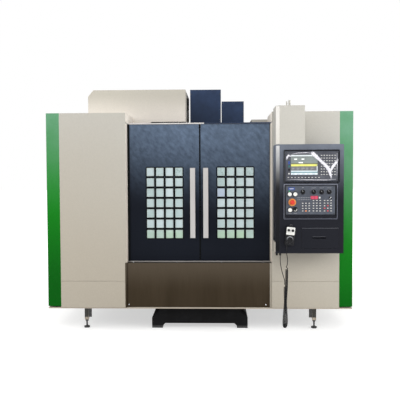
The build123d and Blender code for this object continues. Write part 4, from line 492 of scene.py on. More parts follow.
def brushed_group():
    # Metal drawn in one direction: long fine lines and broad soft bands, and another colour towards the top,
    # a painted sheen.
    given = new_tree("brushed metal", "ShaderNodeTree",
                     {"Color": GREY, "Band Color": GREY, "Lines": (900.0, 900.0, 8.0),
                      "Bands": (14.0, 14.0, 1.2), "Band Amount": 0.5, "Roughness": 0.3, "Top Color": GREY,
                      "Top Foot": 90.0, "Top Head": 91.0}, FINISH)
    place = object_place(given.tree)
    fine = noise(stretched(place, given["Lines"]), 1.0, 3.0, 0.7)
    broad = noise(stretched(place, given["Bands"]), 1.0, 3.0, 0.6)
    share = capped(remap(broad, 0.35, 0.65) * given["Band Amount"])
    banded = blended(share, given["Color"], given["Band Color"])
    height = put("ShaderNodeSeparateXYZ", {0: place})["Z"]
    top = remap(height, given["Top Foot"], given["Top Head"], smooth=True)
    banded = blended(top, banded, given["Top Color"])
    return put("NodeGroupOutput", {"Color": shaded(banded, remap(fine, 0.3, 0.7, 0.86, 1.14)),
                                   "Roughness": capped(given["Roughness"] + (fine - 0.5) * 0.3),
                                   "Height": fine}).tree


def moulded_group():
    # Moulded plastic or a casting: a grain in the surface and slight changes of tone.
    given = new_tree("moulded grain", "ShaderNodeTree",
                     {"Color": GREY, "Worn Color": GREY, "Grain Scale": 1200.0, "Patch Scale": 25.0,
                      "Patch Amount": 0.3, "Roughness": 0.5}, FINISH)
    place = object_place(given.tree)
    patch = noise(place, given["Patch Scale"], 5.0, 0.65)
    share = capped(remap(patch, 0.4, 0.7) * given["Patch Amount"])
    return put("NodeGroupOutput", {"Color": blended(share, given["Color"], given["Worn Color"]),
                                   "Roughness": capped(given["Roughness"] + (patch - 0.5) * 0.3),
                                   "Height": noise(place, given["Grain Scale"], 2.0)}).tree


PLACES, FIELD, MARKS = places_tree(), field_tree(), marks_tree()
POWDER_COAT, EDGE_WEAR_AND_HIGHLIGHT, BRUSHED, MOULDED = (powder_coat_group(), edge_wear_and_highlight_group(), brushed_group(),
                                            moulded_group())


# Finishes

def new_look(name):
    look = bpy.data.materials.new(name)
    look.use_nodes = True
    LOOKS[name] = look
    return look.node_tree, look.node_tree.nodes["Principled BSDF"]


def surface(name, group, values, edge, edge_share, edge_radius, bump, depth, metallic, specular):
    # One finish: a group of its pattern, its edges mixed towards the edge colour for wear and for a painted
    # highlight, on the shader in the material.
    tree, shader = new_look(name)
    pattern = put("ShaderNodeGroup", values, tree, node_tree=group)
    corner = put("ShaderNodeGroup", {"Radius": edge_radius}, tree, node_tree=EDGE_WEAR_AND_HIGHLIGHT)
    color = pattern["Color"]
    if edge:
        color = blended(corner["Mask"] * edge_share, color, edge)
    relief = put("ShaderNodeBump", {"Strength": bump, "Distance": depth, "Height": pattern["Height"],
                                    "Normal": corner["Normal"]})
    feed(shader, {"Base Color": color, "Roughness": pattern["Roughness"], "Normal": relief,
                  "Metallic": metallic, "Specular IOR Level": specular})


def by_label(more):
    return {label.replace("_", " ").title(): value for label, value in more.items()}


def powder(name, color, haze, foot, head, clouds, depth=0.5, roughness=0.42, edge=None, edge_share=0.4,
           specular=0.3, radius=0.0018, slot=None, **more):
    # The second colour, with its foot and head heights, is a painted sheen: light and its reflection painted
    # into the paint.
    values = {"Color": color, "Sheen Color": haze, "Sheen Foot": foot, "Sheen Head": head,
              "Cloud Scale": clouds, "Cloud Depth": depth, "Roughness": roughness, **by_label(more)}
    surface(name, POWDER_COAT, values, edge, edge_share, radius, 0.12, 0.0004, 0.0, specular)


def metal(name, color, band, along, amount, roughness, edge=(225, 225, 222), metallic=1.0, slot=None,
          **more):
    # Along is the axis that the metal was drawn along: 0, 1 or 2.
    lines, bands = [900.0] * 3, [9.0] * 3
    lines[along], bands[along] = 6.0, 0.9
    values = {"Color": color, "Band Color": band, "Lines": lines, "Bands": bands, "Band Amount": amount,
              "Roughness": roughness, **by_label(more)}
    surface(name, BRUSHED, values, edge, 0.35, 0.0012, 0.08, 0.0003, metallic, 0.5)


def moulded(name, color, worn, grain=1500.0, patch=60.0, amount=0.4, roughness=0.5, specular=0.4, bump=0.1,
            radius=0.0008, depth=0.0003):
    values = {"Color": color, "Worn Color": worn, "Grain Scale": grain, "Patch Scale": patch,
              "Patch Amount": amount, "Roughness": roughness}
    surface(name, MOULDED, values, worn, 0.4, radius, bump, depth, 0.0, specular)


# Beige: its colour, a lighter colour painted in towards the top as a painted sheen, the sheen's foot and head
# heights, cloud scale and depth, roughness, and a lighter edge colour with its share for wear and painted
# edge highlights.
BEIGE = ((170, 162, 148), (186, 184, 177), 0, 2.4, 1.4, 0.2, 0.45, (220, 217, 207), 0.6)


def paints():
    # The beige leans lighter to the right: painted light from that side.
    powder("beige_paint", *BEIGE, lean=0.3)
    powder("guard_paint", *BEIGE, foot_line=0.2155, foot_color=(172, 161, 147), slot="beige_paint")
    # A lighter copy of the beige for the magazine cover, its sheen reversed so that it is lighter towards its
    # foot: painted light.
    powder("magazine_paint", (190, 185, 173), (242, 234, 224), 2.18, 1.9, 1.4, 0.3, 0.45,
           (226, 216, 202), 0.6, slot="beige_paint")
    # The green is lighter towards the top and to the right, a painted sheen, and its foot colour darkens it
    # towards the floor over a metre, painted shade.
    powder("green_paint", (22, 122, 28), (122, 165, 142), 0.84, 2.04, 3, 0.4, 0.3, (80, 150, 88), 0.4, 0.06,
           haze_amount=0.84, lean=0.12, foot_line=0.2, foot_fade=1, foot_color=(3, 84, 12))
    # The doors' dark blue is lighter towards the top, in slanting clouds, and to the right: a painted
    # reflection.
    powder("door_paint", (19, 23, 32), (106, 123, 146), 0.99, 1.92, 34, 0.45, 0.38, (8, 9, 12), 0.6, 0.06,
           slant=0.55, lean=0.18)
    # The console is lighter towards its top: a painted sheen.
    powder("console_paint", (30, 31, 37), (114, 120, 132), 1.15, 1.66, 5, 0.3, 0.4, (110, 112, 120), 0.35,
           0.06)
    # The covers are lighter towards the top and to the right: a painted sheen.
    powder("cover_paint", (37, 45, 62), (56, 72, 102), 1.7, 2.3, 9, 0.5, 0.42, (96, 108, 128), 0.3, 0.06,
           lean=0.5)
    # The cabinet is lighter towards the top: a painted sheen.
    powder("cabinet_paint", (178, 172, 160), (200, 196, 186), 0.2, 1.9, 1.8, 0.4, 0.5, (220, 217, 208), 0.4)
    # The recesses' rims, painted darker than the console for the shade in the recesses, with a painted
    # highlight along their edges.
    powder("recess_rim", (12, 13, 17), (20, 21, 27), 1, 1.6, 20, 0.4, 0.3, (122, 124, 136), 0.8, 0.12, 0.002,
           slot="console_paint")
    # The lower rim's crown, painted lighter with a lighter band and edges: a painted highlight where it
    # catches the light.
    powder("lit_rim", (84, 87, 99), (126, 129, 141), 1.26, 1.31, 30, 0.5, 0.3, (138, 140, 152), 0.5, 0.12,
           slot="console_paint")
    # The drawer's slot lip and top rim, painted lighter than the console with light edges: a painted
    # highlight.
    powder("drawer_rim", (50, 52, 58), (66, 68, 76), 0.8, 1, 12, 0.5, 0.35, (120, 122, 130), 0.8, 0.4,
           slot="console_paint")
    # A painted reflection on the console's bevel: bright at the top, fading to dark downwards.
    powder("bevel_sheen", (15, 16, 20), (220, 220, 221), 1.25, 1.7, 12, 0.15, 0.3, specular=0.04,
           slot="console_paint")
    # A bright copy of the beige for the duct's bevel: a painted highlight where it faces the light.
    powder("duct_bevel", (212, 207, 198), (229, 226, 221), 1.6, 1.9, 6, 0.3, 0.4, slot="beige_paint")
    # A bright copy of the beige for the jambs' faces: painted light where they stand in shade.
    powder("jamb_paint", (224, 213, 200), (234, 225, 214), 0.6, 1.8, 3, 0.4, 0.45, slot="beige_paint")
    powder("leg_paint", (62, 61, 58), (80, 79, 76), 0.1, 0.2, 30, 0.5, 0.5, slot="beige_paint")
    # A pale strip beside the green trims: a painted highlight along their lit edges.
    powder("stripe_highlight_paint", (208, 206, 186), (222, 220, 202), 0.3, 1.6, 9, 0.4, 0.4, slot="beige_paint")
    # The dial's ring: dark plastic with a painted reflection, a pale arc along its top.
    powder("dial_rim", (30, 30, 33), (186, 188, 194), 0.842, 0.872, 60, 0.3, 0.3, specular=0.2,
           slot="black_plastic")


def metals():
    # The stainless apron is lighter towards its top: a painted sheen.
    metal("stainless", (51, 43, 33), (66, 57, 46), 2, 0.4, 0.36, (120, 112, 100), top_color=(72, 64, 54),
          top_foot=0.34, top_head=0.62)
    metal("liner_steel", (150, 152, 150), (182, 184, 182), 2, 0.6, 0.38)
    metal("aluminium", (170, 167, 165), (184, 181, 179), 2, 0.7, 0.4, metallic=0.6)
    metal("ground_steel", (158, 160, 162), (196, 198, 200), 0, 0.6, 0.28)
    metal("way_cover_steel", (160, 162, 164), (196, 198, 200), 1, 0.6, 0.3, slot="ground_steel")
    metal("bright_chrome", (200, 202, 205), (226, 228, 230), 0, 0.5, 0.22, slot="stainless")


def castings_and_plastics():
    moulded("cast_iron", (15, 15, 16), (34, 34, 36), 420, 9, 0.5, 0.6, 0.08, 0.35, 0.004, 0.0015)
    moulded("motor_black", (24, 24, 26), (58, 58, 62), 700, 20, 0.4, 0.5, 0.15)
    moulded("black_plastic", (20, 20, 22), (52, 53, 58), 1500, 60, 0.35, 0.42, 0.14)
    moulded("grey_plastic", (75, 79, 88), (97, 102, 112), 1500, 14, 0.5, 0.5, 0.1)
    moulded("screen_plastic", (66, 68, 76), (104, 106, 114), 1500, 12, 0.5, 0.4, 0.2)
    moulded("key_plastic", (70, 70, 77), (110, 110, 116), 1800, 80, 0.4, 0.45)
    moulded("white_plastic", (226, 226, 222), (200, 199, 192), 1800, 70, 0.4, 0.35)
    moulded("red_plastic", (204, 42, 26), (232, 96, 74), 1500, 60, 0.35, 0.3)
    moulded("cord_rubber", (12, 12, 14), (38, 38, 42), 1600, 90, 0.3, 0.42, 0.15)
    moulded("seal_rubber", (7, 9, 10), (20, 23, 25), 900, 40, 0.4, 0.55, 0.06)
    moulded("blackened_steel", (20, 20, 21), (96, 96, 98), 900, 60, 0.35, 0.3, 0.6)
    moulded("amber_plastic", (206, 124, 52), (226, 172, 98), amount=0.6, roughness=0.4)
    moulded("orange_marking", (240, 150, 96), (224, 120, 70))
    moulded("rose_marking", (206, 74, 82), (180, 60, 70))
    moulded("blue_plate", (34, 62, 132), (74, 104, 168), roughness=0.4)
    moulded("teal_plate", (24, 84, 84), (60, 120, 118), roughness=0.4)
    moulded("marking_white", (206, 206, 204), (176, 176, 174))
    moulded("marking_silver", (140, 141, 146), (112, 113, 118))
    moulded("wire_duct", (150, 152, 156), (128, 130, 134))


def window_look():
    # Protective film over the panes: milky and speckled, paler round each pane's edge, smeared in the upper
    # rows and greener at the foot. The cells follow the doors' own pane groups.
    tree, shader = new_look("window_glass")
    place = object_place(tree)
    apart = put("ShaderNodeSeparateXYZ", {0: place})
    side = calc("GREATER_THAN", apart["X"], DOOR_SPLIT / 1000)
    middle = calc("MULTIPLY_ADD", side, (PANES_RIGHT - PANES_LEFT) / 1000, PANES_LEFT / 1000)
    across = (apart["X"] - middle) / (PANE_STEP_X / 1000)
    upward = (apart["Z"] - (PANES_MIDDLE - PANE_ROWS * PANE_STEP_Z / 2) / 1000) / (PANE_STEP_Z / 1000)
    column, row = calc("FLOOR", across) + side * 9.0, calc("FLOOR", upward)
    cell = vector(X=column, Y=row)
    chance = put("ShaderNodeTexWhiteNoise", {"Vector": cell}, noise_dimensions="3D")["Value"]
    milky = blended(chance, (184, 205, 205), (208, 223, 227))
    from_middle = calc("ABSOLUTE", calc("FRACT", across) - 0.5)
    from_centre = calc("ABSOLUTE", calc("FRACT", upward) - 0.5)
    rim = remap(calc("MAXIMUM", from_middle, from_centre), 0.28, 0.4, smooth=True)
    edged = blended(rim * 0.55, milky, (226, 236, 232))
    low = remap(apart["Z"], 0.93, 0.86, smooth=True) * remap(chance, 0.0, 0.8, 0.1, 0.65)
    green = blended(low, edged, (168, 205, 158))
    blue_pane = calc("COMPARE", column, 7.0, 0.1) * calc("COMPARE", row, 4.0, 0.1)
    tinted = blended(blue_pane * 0.6, green, (176, 190, 218))
    speckled = remap(noise(place, 160, 4, 0.7), 0.3, 0.7, 0.93, 1.05) * remap(side, 0, 1, 0.9, 1.06)
    smear = remap(noise(place, 36, 6, 0.72, 1.6), 0.5, 0.66) * remap(apart["Z"], 1.22, 1.42, 0.04, 1)
    smear = smear * remap(chance, 0.15, 0.7, 1, 0)
    relief = put("ShaderNodeBump", {"Strength": 0.06, "Distance": 0.0004, "Height": noise(place, 60)})
    feed(shader, {"Base Color": blended(smear * 0.85, shaded(tinted, speckled), (112, 140, 130)),
                  "Roughness": remap(smear, 0, 1, 0.28, 0.6), "Normal": relief, "Specular IOR Level": 0.3})


def lit_look(name, dark, bright):
    # A lit display: fine cells of light over a dark ground.
    tree, shader = new_look(name)
    place = object_place(tree)
    cells = put("ShaderNodeTexVoronoi", {"Vector": place, "Scale": 500.0, "Randomness": 0.0})["Distance"]
    glow = blended(remap(cells, 0.2, 0.7, 1.0, 0.86), dark, bright)
    feed(shader, {"Base Color": glow, "Emission Color": glow, "Emission Strength": 0.2,
                  "Roughness": remap(noise(place, 80.0), 0.3, 0.7, 0.2, 0.35)})


def picture_look():
    # The screen's picture takes its tints from the mesh and is slightly uneven, as a backlight is.
    tree, shader = new_look("screen_picture")
    tint = put("ShaderNodeAttribute", tree=tree, attribute_name="tint")["Color"]
    uneven = remap(noise(object_place(tree), 18.0), 0.3, 0.7, 0.9, 1.05)
    shown = shaded(tint, uneven)
    feed(shader, {"Base Color": shown, "Emission Color": shown, "Emission Strength": 0.25,
                  "Roughness": remap(uneven, 0.9, 1.05, 0.3, 0.4)})


def film_look():
    # Creases of the clear film that still covers the screen unit: a painted white glint where the crease
    # stands up, clear beside.
    tree, shader = new_look("film_crease")
    raised = put("ShaderNodeAttribute", tree=tree, attribute_name="raised")["Fac"]
    broken = remap(noise(object_place(tree), 200.0, 4.0, 0.7), 0.3, 0.55, 0.45, 1.0)
    feed(shader, {"Base Color": blended(broken, (196, 196, 210), (246, 244, 252)), "Alpha": raised * broken,
                  "Roughness": 0.25})


def dress(names, look):
    for name in names:
        for place in nodes[name].material_slots:
            place.material = LOOKS[look]


paints()
metals()
castings_and_plastics()
window_look()
lit_look("red_display", (104, 16, 34), (176, 44, 74))
lit_look("digit_light", (150, 30, 50), (214, 104, 124))
lit_look("green_light", (20, 96, 60), (52, 160, 104))
picture_look()
film_look()
for entry in frame["record"]["subparts"]:
    dress([entry["node"]], entry["material_slot"])
dress(["levelling_feet"], "blackened_steel")
dress(["guard_panels"], "guard_paint")
dress(["magazine_cover"], "magazine_paint")
dress(["y_way_cover_a", "y_way_cover_b", "guide_rails"], "way_cover_steel")


# Camera, solved from the photograph's edges and corners

def camera():
    data = bpy.data.cameras.new("camera")
    data.lens = 54.0
    data.sensor_width = 36.0
    data.clip_end = 60.0
    obj = new_object("camera", data)
    yaw, pitch, roll = math.radians(1.804), math.radians(2.289), math.radians(-0.259)
    ahead = Vector((-math.sin(yaw) * math.cos(pitch), math.cos(yaw) * math.cos(pitch), -math.sin(pitch)))
    level = Vector((math.cos(yaw), math.sin(yaw), 0.0))
    right = level * math.cos(roll) + level.cross(ahead) * math.sin(roll)
    turn = Matrix((right, right.cross(ahead), -ahead)).transposed().to_4x4()
    obj.matrix_world = Matrix.Translation(at(176.6, -5247.6, 1376.2)) @ turn
    bpy.context.scene.camera = obj


# The hand pulse generator's cord. The route repeats the part's points.

LEAD = [(738.3, -278, 801.3), (734.9, -278, 771.5), (735, -282, 738), (741, -287, 700), (744, -290, 672)]
COIL = [(740, -290, 648), (735, -290, 609), (735, -290, 540), (733, -292, 440), (725, -290, 325),
        (715, -289, 215), (713, -289, 162), (715, -289, 119), (738, -245, 119), (739, -243, 165),
        (736, -240, 240), (731, -240.5, 320), (728, -240, 395), (728, -240, 460), (726, -240, 492)]
RETURN = [(717, -232, 528), (706, -208, 566), (699, -174, 608), (696, -150, 655), (696, -150, 700)]
CORD_DIAMETER = 0.006
COIL_RADIUS = 0.0098
COIL_PITCH = 0.0078
TURN_STEPS = 12
END_STEPS = 20
END_STRETCH = 6.0


def smooth_curve(name, points, resolution):
    data = bpy.data.curves.new(name, "CURVE")
    data.dimensions = "3D"
    data.resolution_u = resolution
    spline = data.splines.new("NURBS")
    spline.points.add(len(points) - 1)
    for knot, point in zip(spline.points, points):
        knot.co = (*point, 1.0)
    spline.order_u = 3
    spline.use_endpoint_u = True
    return new_object(name, data)


def spots_along(points, shares):
    # The points at the given shares of a line's length, and that length.
    lengths = [0.0]
    for a, b in zip(points, points[1:]):
        lengths.append(lengths[-1] + (b - a).length)
    spots, i = [], 0
    for share in shares:
        goal = lengths[-1] * share
        while i < len(points) - 2 and lengths[i + 1] < goal:
            i += 1
        part = (goal - lengths[i]) / (lengths[i + 1] - lengths[i])
        spots.append(points[i].lerp(points[i + 1], part))
    return spots, lengths[-1]


def curled(points):
    # A helix round a line, carried along it without twisting. Its last turns open out into the leads.
    length = spots_along(points, [1.0])[1]
    count = round(length / COIL_PITCH * TURN_STEPS - END_STRETCH * END_STEPS)
    steps = [0.0]
    for k in range(count):
        near = min(k, count - 1 - k) / END_STEPS
        steps.append(steps[-1] + 1.0 + END_STRETCH * max(0.0, 1.0 - near))
    line, _ = spots_along(points, [step / steps[-1] for step in steps])
    side = Vector((1, 0, 0))
    knots = []
    for k in range(1, count):
        ahead = (line[k + 1] - line[k - 1]).normalized()
        side = (side - ahead * side.dot(ahead)).normalized()
        a = 2 * math.pi * k / TURN_STEPS
        radius = COIL_RADIUS * math.sin(min(1.0, k / END_STEPS, (count - k) / END_STEPS) * math.pi / 2)
        knots.append(line[k] + (side * math.cos(a) + ahead.cross(side) * math.sin(a)) * radius)
    return knots


def handset_cord():
    route = smooth_curve("coil_route", [at(*p) for p in COIL], 24)
    line = bpy.data.meshes.new_from_object(route)
    knots = [at(*p) for p in LEAD] + curled([v.co.copy() for v in line.vertices]) + [at(*p) for p in RETURN]
    bpy.data.meshes.remove(line)
    bpy.data.objects.remove(route)
    cord = smooth_curve("handset_cord", knots, 3)
    cord.data.bevel_depth = CORD_DIAMETER / 2
    cord.data.bevel_resolution = 3
    cord.data.materials.append(LOOKS["cord_rubber"])
    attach(cord, BODY)
    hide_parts("mpg_lead", "mpg_coil", "return_lead")
    at(*LEAD[0])


# Hand pulse generator

def handset_place():
    return Matrix.Translation(at(763, 0, 877)) @ turn_by(6.5, "Y") @ facing(Vector((0, -0.296, 0)))


def strain_relief():
    # A ribbed sleeve that thins towards the cord, where it leaves the handset.
    start, end = at(*LEAD[0]), at(*LEAD[1])
    along = (end - start).normalized()
    out = Vector((0, 1, 0)).cross(along)
    profile = [(6.4, -1)]
    for i in range(6):
        z, r = i * 5.0, 6.2 - i * 0.42
        profile += [(r, z + 0.3), (r, z + 3), (r - 1, z + 3.4), (r - 1, z + 4.8)]
    profile.append((3.3, 30))
    piece("handset_sleeve", turned(profile, 28), facing(start, out, along.cross(out)), "black_plastic")


def pointer_knob(radius, height, grip):
    # A skirted knob with a grip across it that narrows to its pointer.
    skirt = turned([(radius, 1), (radius, height * 0.28), (radius - 1.4, height * 0.36)], 36)
    rings = []
    for share, z in ((1.0, height * 0.33), (1.0, height - 2.0), (0.86, height)):
        w, t, l = grip * share / 2, grip * 0.3 * share / 2, radius * (0.95 - (1 - share))
        rings.append([(w, -l, z), (w, l * 0.2, z), (t, l, z), (-t, l, z), (-w, l * 0.2, z), (-w, -l, z)])
    return joined(skirt, skin(rings), turned([(5.6, -12), (5.6, 1.2)], 20))


def handset():
    # The Y of the place is the handset's own face; the pieces' heights are counted from it.
    place = handset_place()
    body = slab(76, 156, 12, [(2.5, -36), (0, -33.5), (0, -6), (1.2, -1.8), (4.5, 0)], 6)
    dial_seat = turned([(35, -2), (35, 1.2), (34, 2), (30, 2)], 48)
    piece("handset_case", joined(body, (dial_seat, moved(0, -28))), place, "black_plastic",
          replaces="mpg_handset")
    hook = trim_frame(16, 24, 5, [(-2, -2), (2, -2), (2, 2), (-2, 2)], 5)
    piece("handset_hook", hook, place @ moved(0, 84, -18), "blackened_steel")
    piece("handset_plate", plate(69, 64, 5, 0, 1.4, 0.8, 2, 4), place @ moved(0, 42), "white_plastic")
    for name, x, turn in (("mpg_axis_knob", -17, 20), ("mpg_step_knob", 17, -25)):
        piece(name + "_cap", pointer_knob(10.5, 14.0, 6.5), place @ moved(x, 48, 2) @ turn_by(turn),
              "black_plastic", name, replaces=name)
    marks = dial_marks("black_plastic", 7, 13.5, 0, 180, 2.0, 0.8, 2)
    piece("handset_knob_marks", repeated(marks, [(x, 48, 2.1) for x in (-17, 17)]), place, "black_plastic")
    marks = dial_marks("marking_silver", 100, 31.5, 0, 356.4, 2.2, 0.4, 10)
    piece("handset_dial_marks", marks, place @ moved(0, -28, 2.1), "marking_silver")


def handset_dial():
    place = handset_place() @ moved(0, -28, 2)
    wheel = turned([(4.8, -9), (4.8, 1), (28, 1), (29, 2), (29, 7), (28.2, 8.6), (26.6, 9.4), (24, 9),
                    (22, 7.6), (8, 7)], 48)
    grip = bar(2.2, 1.6, 0.6, 2.2, 8.2, 0.3)
    grips = [(grip, turn_by(12 * i) @ moved(29)) for i in range(30)]
    piece("dial_wheel", joined(wheel, *grips), place, "black_plastic", "mpg_dial", replaces="mpg_dial")
    # The dial's ring, dark with a pale arc along its top: a painted reflection.
    piece("dial_rim", hollow_ring(22.6, 26.8, 8.8, 10, 48), place, "dial_rim", "mpg_dial")
    crank = turned([(6, 6.8), (6, 12.4), (5, 13.6), (2.5, 13.9)], 24)
    piece("dial_crank", crank, place @ moved(15, 9), "black_plastic", "mpg_dial")


# Console

def recess_trims():
    # The rims of the two recesses in the console's face: a narrow crown that slopes down to the panels.
    section = [(0, -1), (0, 2), (-1.6, 4.6), (-3.4, 4.8), (-13, 0.6), (-13, -1)]
    rims = [(trim_frame(right - left, head - foot, 9, section), moved((left + right) / 2, (foot + head) / 2))
            for left, right, foot, head in ((712, 1175, 1314, 1590), (712, 1157, 1014, 1306))]
    # The rims take a paint darker than the console, painted shade of the recesses, with a painted highlight
    # along their edges.
    piece("recess_rims", joined(*rims), on_front(0, CONSOLE_FACE, 0), "recess_rim")
    # The lower rim's crown is painted lighter: a painted highlight where it catches the light.
    crown = trim_frame(445, 292, 9, [(0.2, 2), (0.2, 4.4), (-0.8, 5.4), (-5.6, 5.4), (-6.6, 4.4), (-6.6, 2)])
    piece("lower_rim_crown", crown, on_front(934.5, CONSOLE_FACE, 1160), "lit_rim")


def bevel_sheen():
    # Strips on the bevelled left corner of the console and on that of the duct above: a painted highlight
    # where the bevels face the light, on the console bright at the top and fading downwards.
    for name, look, width, height, z in (("bevel_sheen", "bevel_sheen", 38, 880, 1184),
                                         ("duct_bevel_sheen", "duct_bevel", 40, 310, 1795)):
        strip = plate(width, height, 3, -0.6, 0.3, 0.8, 0.8)
        piece(name, strip, facing(at(666, -244, z), (1, -1, 0)), look)


def crease(points, level):
    # A strip of film along a line; its middle stands up and carries a painted white glint, and its edges fade
    # away.
    spread = ((-1.0, 0.0), (-0.7, 0.85), (0.0, 1.0), (0.7, 0.85), (1.0, 0.0))
    verts, raised = [], []
    for i, (x, z, half) in enumerate(points):
        before, after = points[max(i - 1, 0)], points[min(i + 1, len(points) - 1)]
        along = Vector((after[0] - before[0], after[1] - before[1])).normalized()
        fade = 0.35 if i in (0, len(points) - 1) else 1.0
        for offset, share in spread:
            verts.append((x - along.y * offset * half, z + along.x * offset * half, level + share * 1.2))
            raised.append(share * fade)
    faces = [(i * 5 + j, i * 5 + j + 1, i * 5 + j + 6, i * 5 + j + 5)
             for i in range(len(points) - 1) for j in range(4)]
    return verts, faces, raised


# Each crease as points of x, z and half its width
FILM_CREASES = [[(938, 1570, 10), (952, 1558, 18), (975, 1536, 17), (1010, 1504, 13), (1048, 1468, 14),
                 (1074, 1440, 17), (1091, 1410, 14), (1099, 1380, 10), (1104, 1350, 6)],
                [(1158, 1510, 7), (1142, 1482, 12), (1116, 1448, 13), (1100, 1418, 10), (1088, 1388, 5)],
                [(734, 1506, 5), (741, 1526, 9), (752, 1543, 10), (766, 1538, 6), (778, 1532, 3)],
                [(776, 1552, 2), (830, 1562, 3), (900, 1565, 3), (950, 1560, 3)],
                [(742, 1346, 1.5), (900, 1341, 2.5), (1060, 1339, 2.5), (1146, 1344, 1.5)],
                [(1150, 1560, 2), (1152, 1460, 2.5), (1150, 1372, 2)]]


def film_creases():
    verts, faces, raised = [], [], []
    for line in FILM_CREASES:
        more, sides, shares = crease(line, 2.6)
        faces += [tuple(i + len(verts) for i in side) for side in sides]
        verts += more
        raised += shares
    mesh = bpy.data.meshes.new("film")
    mesh.from_pydata(verts, [], faces)
    mesh.attributes.new("raised", "FLOAT", "POINT").data.foreach_set("value", raised)
    piece("screen_film", mesh, on_panel(), "film_crease")


# A plain working screen: its ground, bars, one row picked out and a status line. Each tile is left, right,
# foot, head, level and colour. Each row of short dashes is its start, width, step, growth, the growth's
# cycle, foot, thickness and colour.
TILES = [(772, 995, 1382, 1548, 0, (118, 126, 124)), (774, 993, 1536, 1547, 1, (206, 212, 214)),
         (774, 993, 1384, 1396, 1, (222, 232, 238)), (774, 993, 1399, 1407, 1, (118, 150, 160)),
         (774, 993, 1409, 1416, 1, (214, 226, 232)), (774, 984, 1418, 1453, 1, (100, 100, 104)),
         (774, 993, 1453, 1470, 1, (206, 204, 104)), (986, 993, 1410, 1470, 1, (220, 226, 230)),
         (774, 993, 1471, 1478, 1, (92, 94, 70)), (836, 872, 1478, 1488, 2, (226, 230, 226)),
         (800, 824, 1507, 1517, 2, (232, 236, 234)), (860, 884, 1507, 1517, 2, (232, 236, 234))]
DASHES = [(780, 26, 42, 5, 3, 1526, 3, (96, 104, 104)), (780, 20, 40, 9, 2, 1496, 3, (104, 112, 110)),
          (782, 20, 38, 4, 3, 1436, 3, (170, 172, 168)), (782, 14, 38, 7, 2, 1426, 2, (160, 162, 160)),
          (780, 24, 42, 0, 1, 1388, 3, (96, 120, 150))]


def screen_picture():
    tiles = list(TILES)
    for i in range(5):
        for first, width, step, growth, cycle, foot, thickness, tint in DASHES:
            x = first + i * step
            tiles.append((x, x + width + i % cycle * growth, foot, foot + thickness, 2, tint))
    parts, tints = [], []
    for left, right, foot, head, level, tint in tiles:
        tile = bar(right - left, head - foot, 0.6, level * 0.25, level * 0.25 + 0.6, steps=1)
        parts.append((tile, moved((left + right) / 2, (foot + head) / 2)))
        tints += [srgb(*tint)] * len(tile.vertices)
    mesh = joined(*parts)
    colours = mesh.color_attributes.new("tint", "FLOAT_COLOR", "POINT")
    for i, tint in enumerate(tints):
        colours.data[i].color = tint
    piece("screen_picture", mesh, on_front(0, PANEL_FACE + 4, 0), "screen_picture")


def key_cap(size):
    return slab(size, size * 0.86, 2.2, [(0, 0), (0, 1.1), (0.5, 1.6), (1.4, 1.9)], 3)


def key_label(size):
    return bar(size * 0.66, size * 0.36, 1.2, 1.7, 2.1, 0.1)


# The fields of keys: key size, columns, rows, steps across and up, and the middle's x and z
KEY_FIELDS = [(17.0, 6, 8, 22.0, 22.5, 1079.0, 1463.25), (16.0, 10, 1, 28.0, 0.0, 878.0, 1360.0),
              (18.0, 3, 4, 27.0, 21.33, 897.0, 1115.0), (18.0, 3, 5, 27.5, 21.6, 986.3, 1126.3),
              (18.0, 3, 5, 26.5, 21.6, 1076.6, 1126.3)]


def key_fields():
    for name, shape, look, node in (("key_caps", key_cap, "key_plastic", "membrane_keys"),
                                    ("key_labels", key_label, "marking_white", None)):
        fields = [(even_field(look, shape(size), columns, rows, step_x, step_z), moved(x, z))
                  for size, columns, rows, step_x, step_z, x, z in KEY_FIELDS]
        piece(name, joined(*fields), on_panel(), look, replaces=node)


def panel_marks():
    # Printed lines, plates and small lamps of the machine panel, and the covers beside the screen.
    lines = [(bar(38, 3, 1, 0, 0.4), moved(x, 1274)) for x in (961, 1026, 1088)]
    lines.append((bar(16, 5, 1, 0, 0.4), moved(872, 1277)))
    lines += [(bar(26, 4, 1, 0, 0.4), moved(x, 1064)) for x in (766, 809)]
    piece("panel_lines", joined(*lines), on_panel(), "marking_silver")
    lamps = even_field("marking_silver", plate(9, 6, 1.5, 0, 0.8, 0.8, 1.4), 8, 2, 14.0, 16.0)
    piece("panel_lamps", lamps, on_panel(881, 1185), "marking_silver")
    rose = repeated(bar(13, 8, 1.2, 1.8, 2.3, 0.1), [(1050.1, 1104.7), (1076.6, 1083.1), (1076.6, 1126.3)])
    piece("rose_labels", rose, on_panel(), "rose_marking")
    for name, x, z, shape, look in (
            ("blue_plate", 778, 1267, plate(52, 22, 3, 0, 0.7, 0.6, 1.2, 3), "blue_plate"),
            ("blue_plate_bar", 778, 1267, bar(36, 5, 1.5, 1, 1.5), "marking_white"),
            ("digit_window", 966, 1193.5, plate(60, 27, 3, 0, 1.6, 1, 2.4, 3), "red_display"),
            ("white_key", 1010, 1193, plate(14, 14, 2, 0, 1.4, 0.8, 2, 3), "marking_white"),
            ("power_lamp", 760, 1247.5, plate(12, 7, 1.5, 0, 1.2, 0.6, 1.8), "green_light"),
            ("orange_label", 897, 1083, bar(13, 8, 1.2, 1.8, 2.3, 0.1), "orange_marking")):
        piece(name, shape, on_panel(x, z), look)
    for name, x, z, width, height, look in (("blue_cover", 758, 1482, 16, 26, "blue_plate"),
                                            ("teal_cover", 758, 1452, 15, 18, "teal_plate"),
                                            ("plug_cover", 758, 1424, 15, 16, "black_plastic"),
                                            ("white_cover", 757, 1392, 12, 12, "marking_white")):
        cover = plate(width, height, 2, 0, 0.9, 0.7, 1.5, 3)
        piece(name, cover, on_panel(x, z), look)


